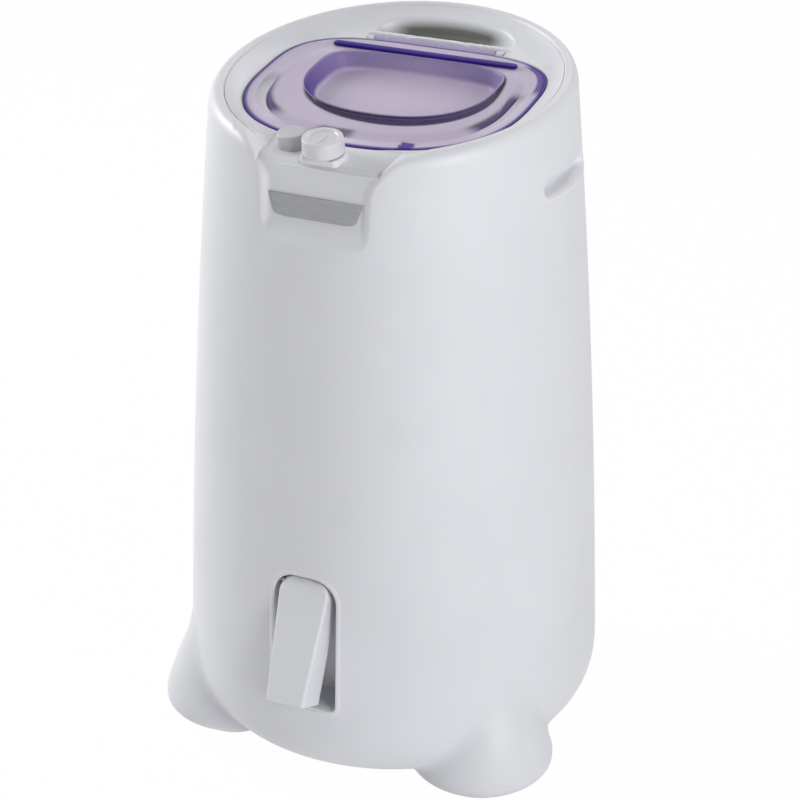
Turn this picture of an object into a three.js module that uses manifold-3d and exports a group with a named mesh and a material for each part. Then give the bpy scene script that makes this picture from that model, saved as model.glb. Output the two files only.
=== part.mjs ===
// Laundry spin dryer: tapered cabinet on three round feet, canted top with a clear hinged lid,
// perforated drum on a vertical motor shaft, and a folding drain spout at the front.
// Millimetres, +Z up, front towards -Y, drum axis at X = Y = 0, floor at Z = 0.
import * as THREE from 'three';
import { mergeVertices } from 'three/addons/utils/BufferGeometryUtils.js';
import Module from 'manifold-3d';

const wasm = await Module();
wasm.setup();

const weldDistance = 0.001;      // corners closer than this are one

// fits
const touchGap = 0.3;            // between pieces that rest on each other
const runFit = 0.06;             // radial play of a turning fit
const slideFit = 0.5;            // play of a sliding or loosely located piece
const drillFit = 1;              // play of a hole that nothing rests in
const overcut = 1;               // how far a cutting solid stands past what it cuts

// cabinet floor and the stack on it: base pan, rubber mounts, motor, brake
const wall = 3;
const cabinetFloor = 33;         // underside of the cabinet
const panThickness = 3;
const mountHeight = 30;
const mountRadius = 14;
const mountReach = 110;
const boltShank = 3.7;
const boltHead = 8;
const boltHeadHeight = 5;
const plateRadius = 125;
const motorPlateThickness = 4;
const motorPlateHole = 52;
const motorRadius = 66;
const shieldThickness = 8;
const statorHeight = 60;
const airGap = 0.6;
const rotorRadius = 40;
const rotorInset = 6;            // of the rotor from the stator's ends
const bearingRadius = 17;
const bearingHeight = 12;
const bearingProud = 2;          // of its shield
const shaftRadius = 8;
const shaftCollarWidth = 4;      // shoulder that carries the drum
const shaftCollarHeight = 5;
const shaftTip = 3;              // above the drum nut
const fanRadius = 44;
const fanHeight = 8;
const fanBlades = 6;
const fanBoss = 6;               // thickness of its boss round the shaft
const fanRoom = 13.9;            // from the motor plate down to the shaft's end
const brakeRadius = 45;
const brakeHeight = 16;
const brakeWall = 4;
const brakeRise = 6;             // of the brake drum above the motor
const leverX = 56.5;
const leverPivotY = 34;
const leverEndY = -44;
const leverWidth = 6;
const leverThickness = 7;
const leverBoss = 7;
const leverPinRadius = 3;
const liningThickness = 4;
const liningLength = 18;
const cableRadius = 2.5;
const capacitorRadius = 20;
const capacitorHeight = 60;
const capacitorX = -92;
const capacitorY = 42;

const panFoot = cabinetFloor + wall + touchGap;
const panTop = panFoot + panThickness;
const plateFoot = panTop + touchGap + mountHeight + touchGap;
const shaftFoot = plateFoot - fanRoom;
const plateHead = plateFoot + motorPlateThickness;
const lowerShield = plateHead + touchGap;
const statorFoot = lowerShield + shieldThickness + touchGap;
const upperShield = statorFoot + statorHeight + touchGap;
const motorTop = upperShield + shieldThickness;
const brakeFoot = motorTop + brakeRise;
const leverFoot = brakeFoot + (brakeHeight - leverThickness) / 2;

// drum, from which the tub, the cabinet and the top take their radii and levels
const drumRadius = 138;
const drumWall = 1.5;
const drumHeight = 355;
const drumCorner = 6;
const drumLipWidth = 34;         // of the flat ring round the drum's mouth
const drumHoleRadius = 4;
const drumHoleRows = 5;
const drumHolesPerRow = 10;
const drumHoleRise = 45;         // of the first row above the drum's floor
const drumHoleStep = 62;
const ringHeight = 18;
const ringChamfer = 4;
const hubRadius = 35;
const hubHeight = 15;
const hubRim = 3;
const hubBoss = 9;               // thickness of its boss round the shaft
const nutRadius = 14;
const nutHeight = 10;

// tub
const tubWall = 2.5;
const tubGap = 11.5;             // from the drum to the tub
const tubRise = 9.2;             // above the brake
const tubDepthGap = 23;          // from the tub's floor to the drum's
const tubHeadroom = 16;          // above the balance ring
const tubCorner = 9;
const tubCoverThickness = 3;
const tubCollarInset = 6;        // from the drum's mouth
const tubCollarWall = 2.5;
const tubCollarTop = -17.5;      // canted coordinate
const sealRadius = 21;
const sealHeight = 7;
const drainRadius = 9;
const drainInset = 16;           // of the outlet from the tub's edge
const drainZ = 150;
const hoseWall = 2;

const tubFloor = brakeFoot + brakeHeight + tubRise;
const tubRadius = drumRadius + tubGap + tubWall;
const drumFloor = tubFloor + tubDepthGap;
const drumTop = drumFloor + drumHeight;
const drumMouth = drumRadius - drumLipWidth;
const ringFoot = drumTop + touchGap;
const tubTop = drumTop + ringHeight + tubHeadroom;
const tubCollarRadius = drumMouth - tubCollarInset;
const nutFoot = drumFloor + drumWall + hubHeight + 2 * touchGap;
const drainY = drainInset - tubRadius;

// cabinet: radius falls with height along a slightly bulged line
const footRoom = 53;             // from the tub to the cabinet at taperFoot
const headRoom = 10.8;           // and at taperHead
const taperFoot = 75;
const taperHeadRise = 51;        // of the taper's upper end above the rim
const barrelBulge = 5.48;
const filletRise = 62;           // rounded bottom edge, upwards
const filletRun = 41;            // rounded bottom edge, inwards
const floorLedge = 14;           // width of the flat floor round its opening
const panLap = 6;                // of the base pan over that opening
const cabinetSides = 48;         // facets round the cabinet

// canted top: everything up here is level, then raised towards the back
const cantAngle = 8.5 * Math.PI / 180;
const cantLength = 190;          // height over which the slope grows to full
const rimRise = 82;              // of the crest of the rim above the tub, over the axis
const rimRoom = 8;               // from the tub to the crest
const rimShoulder = 16;          // drop of the rounded outer shoulder
const rimRoll = 5.4;             // rounding on the inner side of the crest
const shelfWidth = 7.6;          // shelf inside the rim that carries the deck
const shelfDrop = 12.5;          // from the crest to the top of that shelf

const footRadius = tubRadius + footRoom;
const headRadius = tubRadius + headRoom;
const rimLevel = tubTop + rimRise;
const rimRadius = tubRadius + rimRoom;
const rimInner = rimRadius - rimRoll;
const shelfTop = rimLevel - shelfDrop;
const taperHead = rimLevel + taperHeadRise;
const baseOpening = footRadius - filletRun - floorLedge;
const panRadius = baseOpening + panLap;
const cantDrop = 36;             // from the crest to the level where the slope is full
const cantEnd = rimLevel - cantDrop;
const cantStart = cantEnd - cantLength;

// front scoop under the knob
const scoopDrop = 36;            // from the crest to the ledge over the scoop
const scoopHeight = 72;
const scoopHalfWidth = 50;
const scoopFlare = 35;           // extra half width where the scoop meets the rim
const scoopFlareDrop = 61;       // from the crest to where the flare starts
const scoopFlareHeight = 37;
const scoopInset = 3;            // of the scoop face, at its head, from the rim's crest
const scoopLean = 0.13;          // the face leans out by this much per millimetre down
const scoopRunOut = 20;          // height over which its foot runs out to the cabinet
const scoopRunOutDepth = 11;
const scoopHead = rimLevel - scoopDrop;
const scoopFoot = scoopHead - scoopHeight;
const scoopFlareFoot = rimLevel - scoopFlareDrop;
const ledgeCut = 40;             // height of the space cleared over the ledge
const scoopFace = rimRadius - scoopInset;

// label plate on the scoop face
const plateDrop = 31;            // from the ledge
const plateHeight = 20;
const plateTopHalf = 46;
const plateFootHalf = 37;
const plateCorner = 7;
const plateThickness = 1.2;
const plateTop = scoopHead - plateDrop;

// side grips
const gripDrop = 72;             // from the crest
const gripLength = 95;
const gripHeight = 17;
const gripDepth = 12;
const gripLevel = rimLevel - gripDrop;

// deck, in canted coordinates: x, v towards the back, n up from the deck plane
const deckDrop = 14.4;           // from the rim's crest to the deck plane
const deckRoom = 1.2;            // from the rim to the deck
const deckThickness = 3;
const deckLip = 9;               // height of the deck's outer edge
const dishWidth = 16.4;          // of the slope inside that edge
const deckFlat = 1.2;            // height of the flat inside the slope
const seatLevel = -2.4;          // where the lid rests
const mouthSkirtFoot = -17;
const mouthMargin = 2;           // from the lid's collar to the deck's mouth
const deckScrewRadius = 1.6;
const deckScrewHead = 3.2;
const deckScrewHeadHeight = 2.2;
const deckBossRadius = 4.4;
const deckPlane = rimLevel - deckDrop;
const deckRadius = rimInner - deckRoom;
const deckDishRadius = deckRadius - dishWidth;
const underShelf = shelfTop - wall - deckPlane;

// lid
const lidTop = 1;
const lidThickness = 3;
const lidGap = 1;                // all round the lid
const lidCentre = -3;            // v of its widest place
const lidSideRoom = 2;           // from the deck's flat to the lid, at the sides
const lidFrontRoom = 17.5;
const lidBackRoom = 46;
const lidFrontPower = 2.45;
const lidBackPower = 3.6;
const collarInset = 22;          // of the collar under the lid
const collarFoot = -14;
const collarWall = 2.5;
const pocketSideRoom = 45;       // from the lid's edge to the moulded hand pocket
const pocketFrontRoom = 65.5;
const pocketBackRoom = 4;        // from the pocket to the middle of the bar
const pocketCentre = 20;
const pocketFrontPower = 2.3;
const pocketBackPower = 4;
const pocketDepth = 14;
const pocketDraft = 6;
const pocketWall = 2.5;
const barEndRoom = 41;           // from the lid's edge to the dark bar's end
const barRadius = 3.2;
const barToHinge = 23.5;
const hingeSetBack = 2.5;        // of the hinge axis behind the lid's back edge
const hingeLevel = -0.5;
const hingeRodRadius = 2;
const hingeBarrelRadius = 4;
const hingeBarrelHalf = 62;
const hingeEarWidth = 6;
const hingeWeb = 11.5;           // of the lid's plate that runs out to the hinge
const lidFoot = lidTop - lidThickness;
const lidHalfWidth = deckDishRadius - lidSideRoom;
const lidFrontDepth = deckDishRadius + lidCentre - lidFrontRoom;
const lidBackDepth = deckDishRadius - lidCentre - lidBackRoom;
const lidFront = lidCentre - lidFrontDepth;
const hingePlace = lidCentre + lidBackDepth + hingeSetBack;
const barPlace = hingePlace - barToHinge;
const barHalfLength = lidHalfWidth - barEndRoom;
const pocketHalfWidth = lidHalfWidth - pocketSideRoom;
const pocketFrontDepth = pocketCentre - pocketFrontRoom - lidFront;
const pocketBackDepth = barPlace - pocketBackRoom - pocketCentre;
const hingeBack = hingePlace + hingeBarrelRadius + lidGap;
const hingeFoot = hingeLevel - hingeBarrelRadius - lidGap;
const earEnd = hingeBarrelHalf + lidGap + hingeEarWidth;
const trayHalf = earEnd + lidGap;

// rear finger recess
const recessInset = 13;          // of its back from the rim's crest
const recessLength = 39;
const recessHalfWidth = 72;
const recessDepth = 14;
const recessRoundness = 0.8;
const lipHeight = 2.2;           // raised lip between the recess and the lid
const lipDepth = 5;
const lipOverlap = 4;            // of the lip past the hinge tray at each end
const recessBack = rimRadius - recessInset;
const recessFront = recessBack - recessLength;

// ledge in front of the lid
const ledgeTop = 0;
const ledgeHalfWidth = 61;
const ledgeProud = 9.5;          // of its outer corners beyond the rim's crest
const ledgeLap = 7.5;            // behind the lid's front edge
const ledgeRadius = rimRadius + ledgeProud;
const ledgeFront = -rimRadius;
const ledgeBack = lidFront + ledgeLap;

// lid tongue, switch and catch
const tonguePlace = 60;
const tongueWidth = 11;
const tongueThickness = 3.5;
const tongueInset = 9.5;         // behind the lid's front edge
const tongueFoot = -22;
const switchDrop = 1.5;          // from the tongue to the switch
const switchHeight = 14;
const switchHalfDepth = 6;
const switchEndRoom = 4;
const plungerRadius = 2.5;
const plungerHeight = 3;
const catchPlace = -38;
const catchWidth = 9;
const catchThickness = 2.5;
const catchInset = 10.5;
const catchFoot = -14;
const boltLength = 14;
const boltHeight = 4;
const boltTop = -9.6;
const boltTravel = 3;
const ribLength = 6;             // of the ribs that guide the bolt
const boltStandOff = 0.4;        // between bolt and catch
const tongueV = lidFront + tongueInset;
const catchV = lidFront + catchInset;
const boltFront = catchV - catchThickness / 2 - boltStandOff;
const boltBack = boltFront - boltLength;

// controls
const knobInset = 14.5;          // from the ledge's front edge
const knobRadius = 19;
const knobHeight = 15;
const knobDish = 2;
const pointerWidth = 2;
const pointerHeight = 0.8;
const pedestalRadius = 21;
const pedestalHeight = 5;
const knobRise = 1;              // knob above its pedestal
const timerShaftRadius = 3;
const timerShaftDepth = 8;       // of the shaft in the timer
const timerShaftRoom = 4;        // from the shaft to the knob's dish
const timerWidth = 40;
const timerDepth = 22;
const timerHeight = 26;
const timerOffset = 3.5;         // of the timer behind its shaft
const buttonInset = 22.5;        // of the button in front of the catch
const buttonRadius = 13;
const buttonTop = 13;
const buttonFoot = -5;
const guideDepth = 16;
const guideWall = 2;
const springRadius = 6.5;
const springWall = 1.5;
const springOffset = 5;
const knobV = ledgeFront + knobInset;
const knobFoot = ledgeTop + pedestalHeight + knobRise;
const knobHead = knobFoot + knobHeight;
const timerTop = ledgeTop - deckThickness - touchGap;
const timerShaftFoot = timerTop - timerShaftDepth;
const timerShaftHead = knobHead - knobDish - timerShaftRoom;
const timerV = knobV + timerOffset;
const buttonV = catchV - buttonInset;

// spout and its housing
const slotHalfWidth = 32;
const slotFoot = 113;
const slotHead = 250;
const slotCorner = 24;
const slotFootCorner = 6;
const housingWall = 2.5;
const housingRoom = 8;           // from the tub to the back of the housing
const housingProud = 1.2;
const pivotDrop = 14;            // from the head of the slot
const pivotInset = 12.6538;      // from the cabinet's surface
const spoutSlant = 24.5 * Math.PI / 180;
const spoutFace = 12;            // from the pivot to the face
const spoutHead = 8;             // above the pivot
const spoutLength = 112;         // below the pivot
const spoutTopHalf = 26;
const spoutFootHalf = 19;
const spoutTopDepth = 22;
const spoutFootDepth = 37;
const spoutWall = 2.5;
const spoutCorner = 18;          // of its head, seen from the front
const spoutBrow = 7;             // rounding of its head, seen from the side
const spoutPinRadius = 2.5;
const housingBack = tubRadius + housingRoom;
const spoutPivotZ = slotHead - pivotDrop;
const spoutPivotY = cabinetRadius(spoutPivotZ) - pivotInset;

// feet
const frontFootAngle = 56 * Math.PI / 180;
const footInset = 42;            // foot centres from the cabinet's radius
const footWidest = 72;
const footTop = 119;
const footFloor = 5;
const footPostRadius = 17;
const padRadius = 38;
const padThickness = 7;
const padHole = 11;
const footScrewRadius = 3;
const footScrewHead = 8;
const footScrewHeadHeight = 5;
const footScrewSeat = 22;
const footScrewTop = 47;
const footReach = footRadius - footInset;

// mains lead gland
const glandRadius = 9;
const glandFlange = 12;
const glandFlangeThickness = 3;
const glandProud = 0.6;          // of the flange's seat over the cabinet
const glandNose = 4;
const glandLength = 16;
const glandLevel = 150;
const glandBore = 3.5;

const finish = {
  whiteCase: new THREE.MeshStandardMaterial({ color: 0xe4e3e7, roughness: 0.38, metalness: 0 }),
  violetClear: new THREE.MeshStandardMaterial({ color: 0xb9aecb, roughness: 0.08, metalness: 0 }),
  violetDeep: new THREE.MeshStandardMaterial({ color: 0x2c0a76, roughness: 0.3, metalness: 0 }),
  greyPlate: new THREE.MeshStandardMaterial({ color: 0x9a9b9d, roughness: 0.45, metalness: 0.1 }),
  blackPlastic: new THREE.MeshStandardMaterial({ color: 0x222326, roughness: 0.6, metalness: 0 }),
  rubber: new THREE.MeshStandardMaterial({ color: 0x2a2a2c, roughness: 0.85, metalness: 0 }),
  stainless: new THREE.MeshStandardMaterial({ color: 0xc3c5c8, roughness: 0.3, metalness: 1 }),
  steel: new THREE.MeshStandardMaterial({ color: 0x9b9ea3, roughness: 0.4, metalness: 1 }),
  castMetal: new THREE.MeshStandardMaterial({ color: 0x8c9094, roughness: 0.55, metalness: 0.9 }),
  painted: new THREE.MeshStandardMaterial({ color: 0x34383d, roughness: 0.5, metalness: 0.2 }),
};

// ---- tools ----

function toSolid(geometry) {
  const bare = geometry.index ? geometry.clone() : mergeVertices(geometry.clone());
  bare.deleteAttribute('normal');
  bare.deleteAttribute('uv');
  const merged = mergeVertices(bare, 1e-4);
  const vertProperties = new Float32Array(merged.attributes.position.array);
  const triVerts = new Uint32Array(merged.index.array);
  const mesh = new wasm.Mesh({ numProp: 3, vertProperties, triVerts });
  mesh.merge();
  return new wasm.Manifold(mesh);
}

// drops the triangles that lost a side when their corners were merged
function withoutSlivers(geometry) {
  const corners = geometry.index.array;
  const kept = [];
  for (let i = 0; i < corners.length; i += 3) {
    const [a, b, c] = corners.subarray(i, i + 3);
    if (a !== b && b !== c && c !== a) kept.push(a, b, c);
  }
  geometry.setIndex(kept);
  return geometry;
}

function toMesh(name, solid, material) {
  const { vertProperties, triVerts } = solid.getMesh();
  const raw = new THREE.BufferGeometry();
  raw.setAttribute('position', new THREE.BufferAttribute(vertProperties, 3));
  raw.setIndex(new THREE.BufferAttribute(triVerts, 1));
  const geometry = withoutSlivers(mergeVertices(raw, weldDistance));
  geometry.computeVertexNormals();
  const mesh = new THREE.Mesh(geometry, material);
  mesh.name = name;
  return mesh;
}

// turned shape about Z from points [radius, height] that start and end on the axis or close
function turned(points, segments = 32) {
  const profile = points.map(([r, z]) => new THREE.Vector2(Math.max(r, 0), z));
  if (signedArea(profile) < 0) profile.reverse();
  const geometry = new THREE.LatheGeometry(profile, segments);
  geometry.rotateX(Math.PI / 2);
  return geometry;
}

function signedArea(points) {
  let area = 0;
  points.forEach((a, i) => {
    const b = points[(i + 1) % points.length];
    area += a.x * b.y - b.x * a.y;
  });
  return area;
}

const turnedSolid = (points, segments) => toSolid(turned(points, segments));

// ring or disc with straight sides, from z = foot to z = head
function ring(inner, outer, foot, head, segments = 32) {
  const corners = [[inner, foot], [outer, foot], [outer, head], [inner, head]];
  if (inner > 0) corners.push([inner, foot]);
  return turnedSolid(corners, segments);
}

const disc = (radius, foot, head, segments) => ring(0, radius, foot, head, segments);

// a hole whose flats, not its corners, are at the given radius
const holeRadius = (radius, segments) => radius / Math.cos(Math.PI / segments);

function block(x0, x1, y0, y1, z0, z1) {
  const geometry = new THREE.BoxGeometry(x1 - x0, y1 - y0, z1 - z0);
  geometry.translate((x0 + x1) / 2, (y0 + y1) / 2, (z0 + z1) / 2);
  return toSolid(geometry);
}

function upright(shape, foot, head, curveSegments = 8) {
  const settings = { depth: head - foot, bevelEnabled: false, curveSegments };
  const geometry = new THREE.ExtrudeGeometry(shape, settings);
  geometry.translate(0, 0, foot);
  return toSolid(geometry);
}

// a shape drawn in X and Z, extruded from y = back towards the front
function facingFront(shape, back, front, curveSegments = 8) {
  const settings = { depth: back - front, bevelEnabled: false, curveSegments };
  const geometry = new THREE.ExtrudeGeometry(shape, settings);
  geometry.rotateX(Math.PI / 2);
  geometry.translate(0, back, 0);
  return toSolid(geometry);
}

const alongX = (radius, x0, x1, segments = 24) => {
  const geometry = new THREE.CylinderGeometry(radius, radius, x1 - x0, segments);
  geometry.rotateZ(Math.PI / 2);
  geometry.translate((x0 + x1) / 2, 0, 0);
  return toSolid(geometry);
};

// rounded outline: half width, then separate depth and squareness in front and behind
function rounded(halfWidth, centre, frontDepth, backDepth, frontPower, backPower, steps = 36) {
  const points = [];
  for (let i = 0; i < steps; i += 1) {
    const angle = (i / steps) * 2 * Math.PI;
    const power = Math.sin(angle) < 0 ? frontPower : backPower;
    const depth = Math.sin(angle) < 0 ? frontDepth : backDepth;
    const across = Math.sign(Math.cos(angle)) * Math.abs(Math.cos(angle)) ** (2 / power);
    const along = Math.sign(Math.sin(angle)) * Math.abs(Math.sin(angle)) ** (2 / power);
    points.push(new THREE.Vector2(halfWidth * across, centre + depth * along));
  }
  return new THREE.Shape(points);
}

const lidOutline = (grow) => rounded(lidHalfWidth + grow, lidCentre, lidFrontDepth + grow,
  lidBackDepth + grow, lidFrontPower, lidBackPower);

const pocketOutline = (grow) => rounded(pocketHalfWidth + grow, pocketCentre,
  pocketFrontDepth + grow, pocketBackDepth + grow, pocketFrontPower, pocketBackPower);

// canted coordinates to the object's own
const cantedPlace = new THREE.Matrix4().makeRotationX(cantAngle).setPosition(0, 0, deckPlane);
const canted = (solid) => solid.transform(cantedPlace.elements);

// further out than any piece, for cutting solids
const beyond = footRadius + 55;

const slab = (from, to) => block(-beyond, beyond, -beyond, beyond, from, to);

// ---- cabinet ----

function cabinetRadius(z) {
  const share = (z - taperFoot) / (taperHead - taperFoot);
  const bulge = barrelBulge * 4 * share * (1 - share);
  return footRadius + (headRadius - footRadius) * share + bulge;
}

// raises the back of the top and lowers its front, and keeps the side on the cabinet's taper
function cantTop(geometry) {
  const position = geometry.attributes.position;
  for (let i = 0; i < position.count; i += 1) {
    const x = position.getX(i);
    const y = position.getY(i);
    const z = position.getZ(i);
    const share = THREE.MathUtils.smoothstep(z, cantStart, cantEnd);
    const rise = Math.tan(cantAngle) * y * share;
    const radius = Math.hypot(x, y);
    const outer = THREE.MathUtils.clamp((radius - rimInner) / rimRoll / 1.5, 0, 1);
    const change = (cabinetRadius(z + rise) - cabinetRadius(z)) * outer;
    const scale = radius > 0 ? (radius + change) / radius : 1;
    position.setXYZ(i, x * scale, y * scale, z + rise);
  }
  return geometry;
}

// quarter of an ellipse from angle 0 (sideways) to 90 degrees (up), about a centre
function quarter(centreR, centreZ, runR, runZ, fromDegrees, toDegrees, steps) {
  return Array.from({ length: steps + 1 }, (_, i) => {
    const angle = THREE.MathUtils.degToRad(fromDegrees + (toDegrees - fromDegrees) * i / steps);
    return [centreR + runR * Math.cos(angle), centreZ + runZ * Math.sin(angle)];
  });
}

function sideLevels(from, to, count) {
  return Array.from({ length: count }, (_, i) => from + (to - from) * i / (count - 1));
}

function cabinetOuter(proud = 0) {
  const filletTop = cabinetFloor + filletRise;
  const filletRadius = cabinetRadius(filletTop);
  const shoulderFoot = rimLevel - rimShoulder;
  const shoulderRadius = cabinetRadius(shoulderFoot);
  const bottom = quarter(filletRadius - filletRun, filletTop, filletRun + proud,
    filletRise + proud, -90, 0, 4);
  const side = sideLevels(filletTop, shoulderFoot, 8).slice(1, -1)
    .map((z) => [cabinetRadius(z) + proud, z]);
  const shoulder = quarter(rimRadius, shoulderFoot, shoulderRadius - rimRadius + proud,
    rimShoulder, 0, 90, 3);
  const roll = quarter(rimRadius, rimLevel - rimRoll, rimRoll, rimRoll, 90, 180, 2).slice(1);
  const inside = [[rimInner, shelfTop], [0, shelfTop]];
  const profile = [[0, cabinetFloor - proud], ...bottom, ...side, ...shoulder, ...roll, ...inside];
  return toSolid(cantTop(turned(profile, cabinetSides)));
}

function cabinetInner() {
  const filletTop = cabinetFloor + filletRise;
  const filletRadius = cabinetRadius(filletTop) - wall;
  const shelfFoot = shelfTop - wall;
  const opening = rimInner - shelfWidth;
  const bottom = quarter(filletRadius - filletRun + wall, filletTop, filletRun - wall,
    filletRise - wall, -90, 0, 3);
  const side = sideLevels(filletTop, shelfFoot - wall, 5).slice(1)
    .map((z) => [cabinetRadius(z) - wall, z]);
  const profile = [[0, 0], [baseOpening, 0], [baseOpening, cabinetFloor + wall], ...bottom,
    ...side, [rimInner, shelfFoot], [opening, shelfFoot], [opening, rimLevel], [0, rimLevel]];
  return toSolid(cantTop(turned(profile, cabinetSides)));
}

const scoopWidthAt = (z) => {
  const share = THREE.MathUtils.clamp((z - scoopFlareFoot) / scoopFlareHeight, 0, 1);
  return scoopHalfWidth + scoopFlare * share ** 2;
};

const scoopFaceAt = (z) => {
  const share = THREE.MathUtils.clamp((scoopFoot + scoopRunOut - z) / scoopRunOut, 0, 1);
  return -scoopFace - scoopLean * (scoopHead - z) - scoopRunOutDepth * share ** 2;
};

// the space in front of the scoop face, as a box whose back and sides follow the formulas
function scoopSpace(margin) {
  const geometry = new THREE.BoxGeometry(2, 2, 1, 1, 1, 16);
  const position = geometry.attributes.position;
  const head = rimLevel + rimShoulder;
  for (let i = 0; i < position.count; i += 1) {
    const z = THREE.MathUtils.lerp(scoopFoot, head, position.getZ(i) + 0.5);
    const y = position.getY(i) > 0 ? scoopFaceAt(z) + margin : -beyond;
    const x = position.getX(i) * (scoopWidthAt(z) + margin);
    position.setXYZ(i, x, y, z);
  }
  return toSolid(geometry);
}

// the space over the ledge, where the rim is cut away
function ledgeSpace(foot, margin) {
  const half = ledgeHalfWidth + margin;
  const shape = new THREE.Shape();
  shape.moveTo(-half, foot);
  shape.lineTo(half, foot);
  shape.lineTo(half + ledgeCut, foot + ledgeCut);
  shape.lineTo(-half - ledgeCut, foot + ledgeCut);
  const wide = facingFront(shape, ledgeBack, -beyond);
  return canted(wide);
}

function capsule(length, height) {
  const radius = height / 2;
  const straight = length / 2 - radius;
  const shape = new THREE.Shape();
  shape.moveTo(-straight, -radius);
  shape.lineTo(straight, -radius);
  shape.absarc(straight, 0, radius, -Math.PI / 2, Math.PI / 2);
  shape.lineTo(-straight, radius);
  shape.absarc(-straight, 0, radius, Math.PI / 2, Math.PI * 1.5);
  return shape;
}

// pocket that a hand reaches into, on the side that the sign gives
function gripSpace(side, margin) {
  const reach = 2 * gripDepth;
  const floor = cabinetRadius(gripLevel) - gripDepth - margin;
  const outline = capsule(gripLength + 2 * margin, gripHeight + 2 * margin);
  const pocket = facingFront(outline, 0, -reach, 5);
  return pocket.rotate([0, 0, 90 * side]).translate([side * floor, 0, gripLevel]);
}

function archShape(grow) {
  const half = slotHalfWidth + grow;
  const foot = slotFoot - grow;
  const head = slotHead + grow;
  const corner = slotCorner + grow;
  const low = slotFootCorner + grow;
  const shape = new THREE.Shape();
  shape.moveTo(-half + low, foot);
  shape.lineTo(half - low, foot);
  shape.absarc(half - low, foot + low, low, -Math.PI / 2, 0);
  shape.lineTo(half, head - corner);
  shape.absarc(half - corner, head - corner, corner, 0, Math.PI / 2);
  shape.lineTo(-half + corner, head);
  shape.absarc(-half + corner, head - corner, corner, Math.PI / 2, Math.PI);
  shape.lineTo(-half, foot + low);
  shape.absarc(-half + low, foot + low, low, Math.PI, Math.PI * 1.5);
  return shape;
}

const footAngles = { front_left: -frontFootAngle, front_right: frontFootAngle, rear: Math.PI };
const footPlace = (angle) => [footReach * Math.sin(angle), -footReach * Math.cos(angle), 0];

const deckScrewAngles = [-128, -62, 62, 128].map((degrees) => THREE.MathUtils.degToRad(degrees));
const deckScrewReach = rimInner - shelfWidth / 2 - 1;

function atDeckScrews(solid) {
  return deckScrewAngles.map((angle) => solid.translate([
    deckScrewReach * Math.sin(angle),
    -deckScrewReach * Math.cos(angle),
    0,
  ]));
}

function makeCabinet() {
  const outer = cabinetOuter().subtract(scoopSpace(0)).subtract(gripSpace(1, 0))
    .subtract(gripSpace(-1, 0));
  const inner = cabinetInner().subtract(scoopSpace(wall)).subtract(gripSpace(1, wall))
    .subtract(gripSpace(-1, wall));
  let shell = outer.subtract(inner).subtract(ledgeSpace(ledgeTop - deckThickness - touchGap, 1));
  const recessFoot = -recessDepth - deckThickness - recessDepth;
  shell = shell.subtract(canted(upright(recessShape(deckThickness + slideFit), recessFoot, deckLip)));
  shell = shell.subtract(facingFront(archShape(housingWall + touchGap), -housingBack, -beyond, 5));
  const screwWay = disc(footScrewRadius + touchGap, 0, footTop, 12);
  for (const angle of Object.values(footAngles)) {
    shell = shell.subtract(screwWay.translate(footPlace(angle)));
  }
  const deckScrewWay = disc(deckScrewRadius + touchGap, underShelf - wall, deckLip, 12);
  for (const hole of atDeckScrews(deckScrewWay)) shell = shell.subtract(canted(hole));
  const glandWay = facingFront(circle(glandRadius + touchGap), beyond, tubRadius, 6);
  return shell.subtract(glandWay.translate([0, 0, glandLevel]));
}

function circle(radius) {
  const shape = new THREE.Shape();
  shape.absarc(0, 0, radius, 0, 2 * Math.PI);
  return shape;
}

// ---- deck and what it carries ----

function ledgeShape() {
  const sideAngle = Math.asin(ledgeHalfWidth / ledgeRadius);
  const frontAngle = Math.acos(-ledgeFront / ledgeRadius);
  const shape = new THREE.Shape();
  const back = ledgeBack * Math.cos(cantAngle);
  shape.moveTo(ledgeHalfWidth, back);
  shape.lineTo(-ledgeHalfWidth, back);
  shape.absarc(0, 0, ledgeRadius, -Math.PI / 2 - sideAngle, -Math.PI / 2 - frontAngle);
  shape.absarc(0, 0, ledgeRadius, -Math.PI / 2 + frontAngle, -Math.PI / 2 + sideAngle);
  return shape;
}

// drawn as seen from above, then stretched to the canted plane
const ledgePrism = (foot, head) => upright(ledgeShape(), foot, head, 4)
  .scale([1, 1 / Math.cos(cantAngle), 1]);

// half moon with its straight edge in front
function recessShape(grow) {
  const half = recessHalfWidth + grow;
  const depth = recessBack - recessFront + grow;
  const points = Array.from({ length: 13 }, (_, i) => {
    const angle = Math.PI * i / 12;
    const along = Math.sin(angle) ** recessRoundness;
    return new THREE.Vector2(half * Math.cos(angle), recessFront + depth * along);
  });
  points.push(new THREE.Vector2(-half, recessFront - grow));
  points.push(new THREE.Vector2(half, recessFront - grow));
  return new THREE.Shape(points);
}

const mouthGrow = mouthMargin - collarInset;
const clearOfDeck = 40;          // above and below every part of the deck

function dishSolid() {
  const under = deckFlat - deckThickness;
  const inner = deckRadius - deckThickness;
  const flangeFoot = shelfTop - deckPlane + touchGap;
  const points = [[0, under], [deckDishRadius, under], [inner, deckLip - deckThickness],
    [inner, flangeFoot], [deckRadius, flangeFoot], [deckRadius, deckLip],
    [deckDishRadius, deckFlat], [0, deckFlat]];
  return turnedSolid(points, cabinetSides).scale([1, 1 / Math.cos(cantAngle), 1]);
}

// the tray starts just inside the mouth, so that both edges stay apart
const trayFront = lidCentre + lidBackDepth + mouthGrow + 1;

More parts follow.
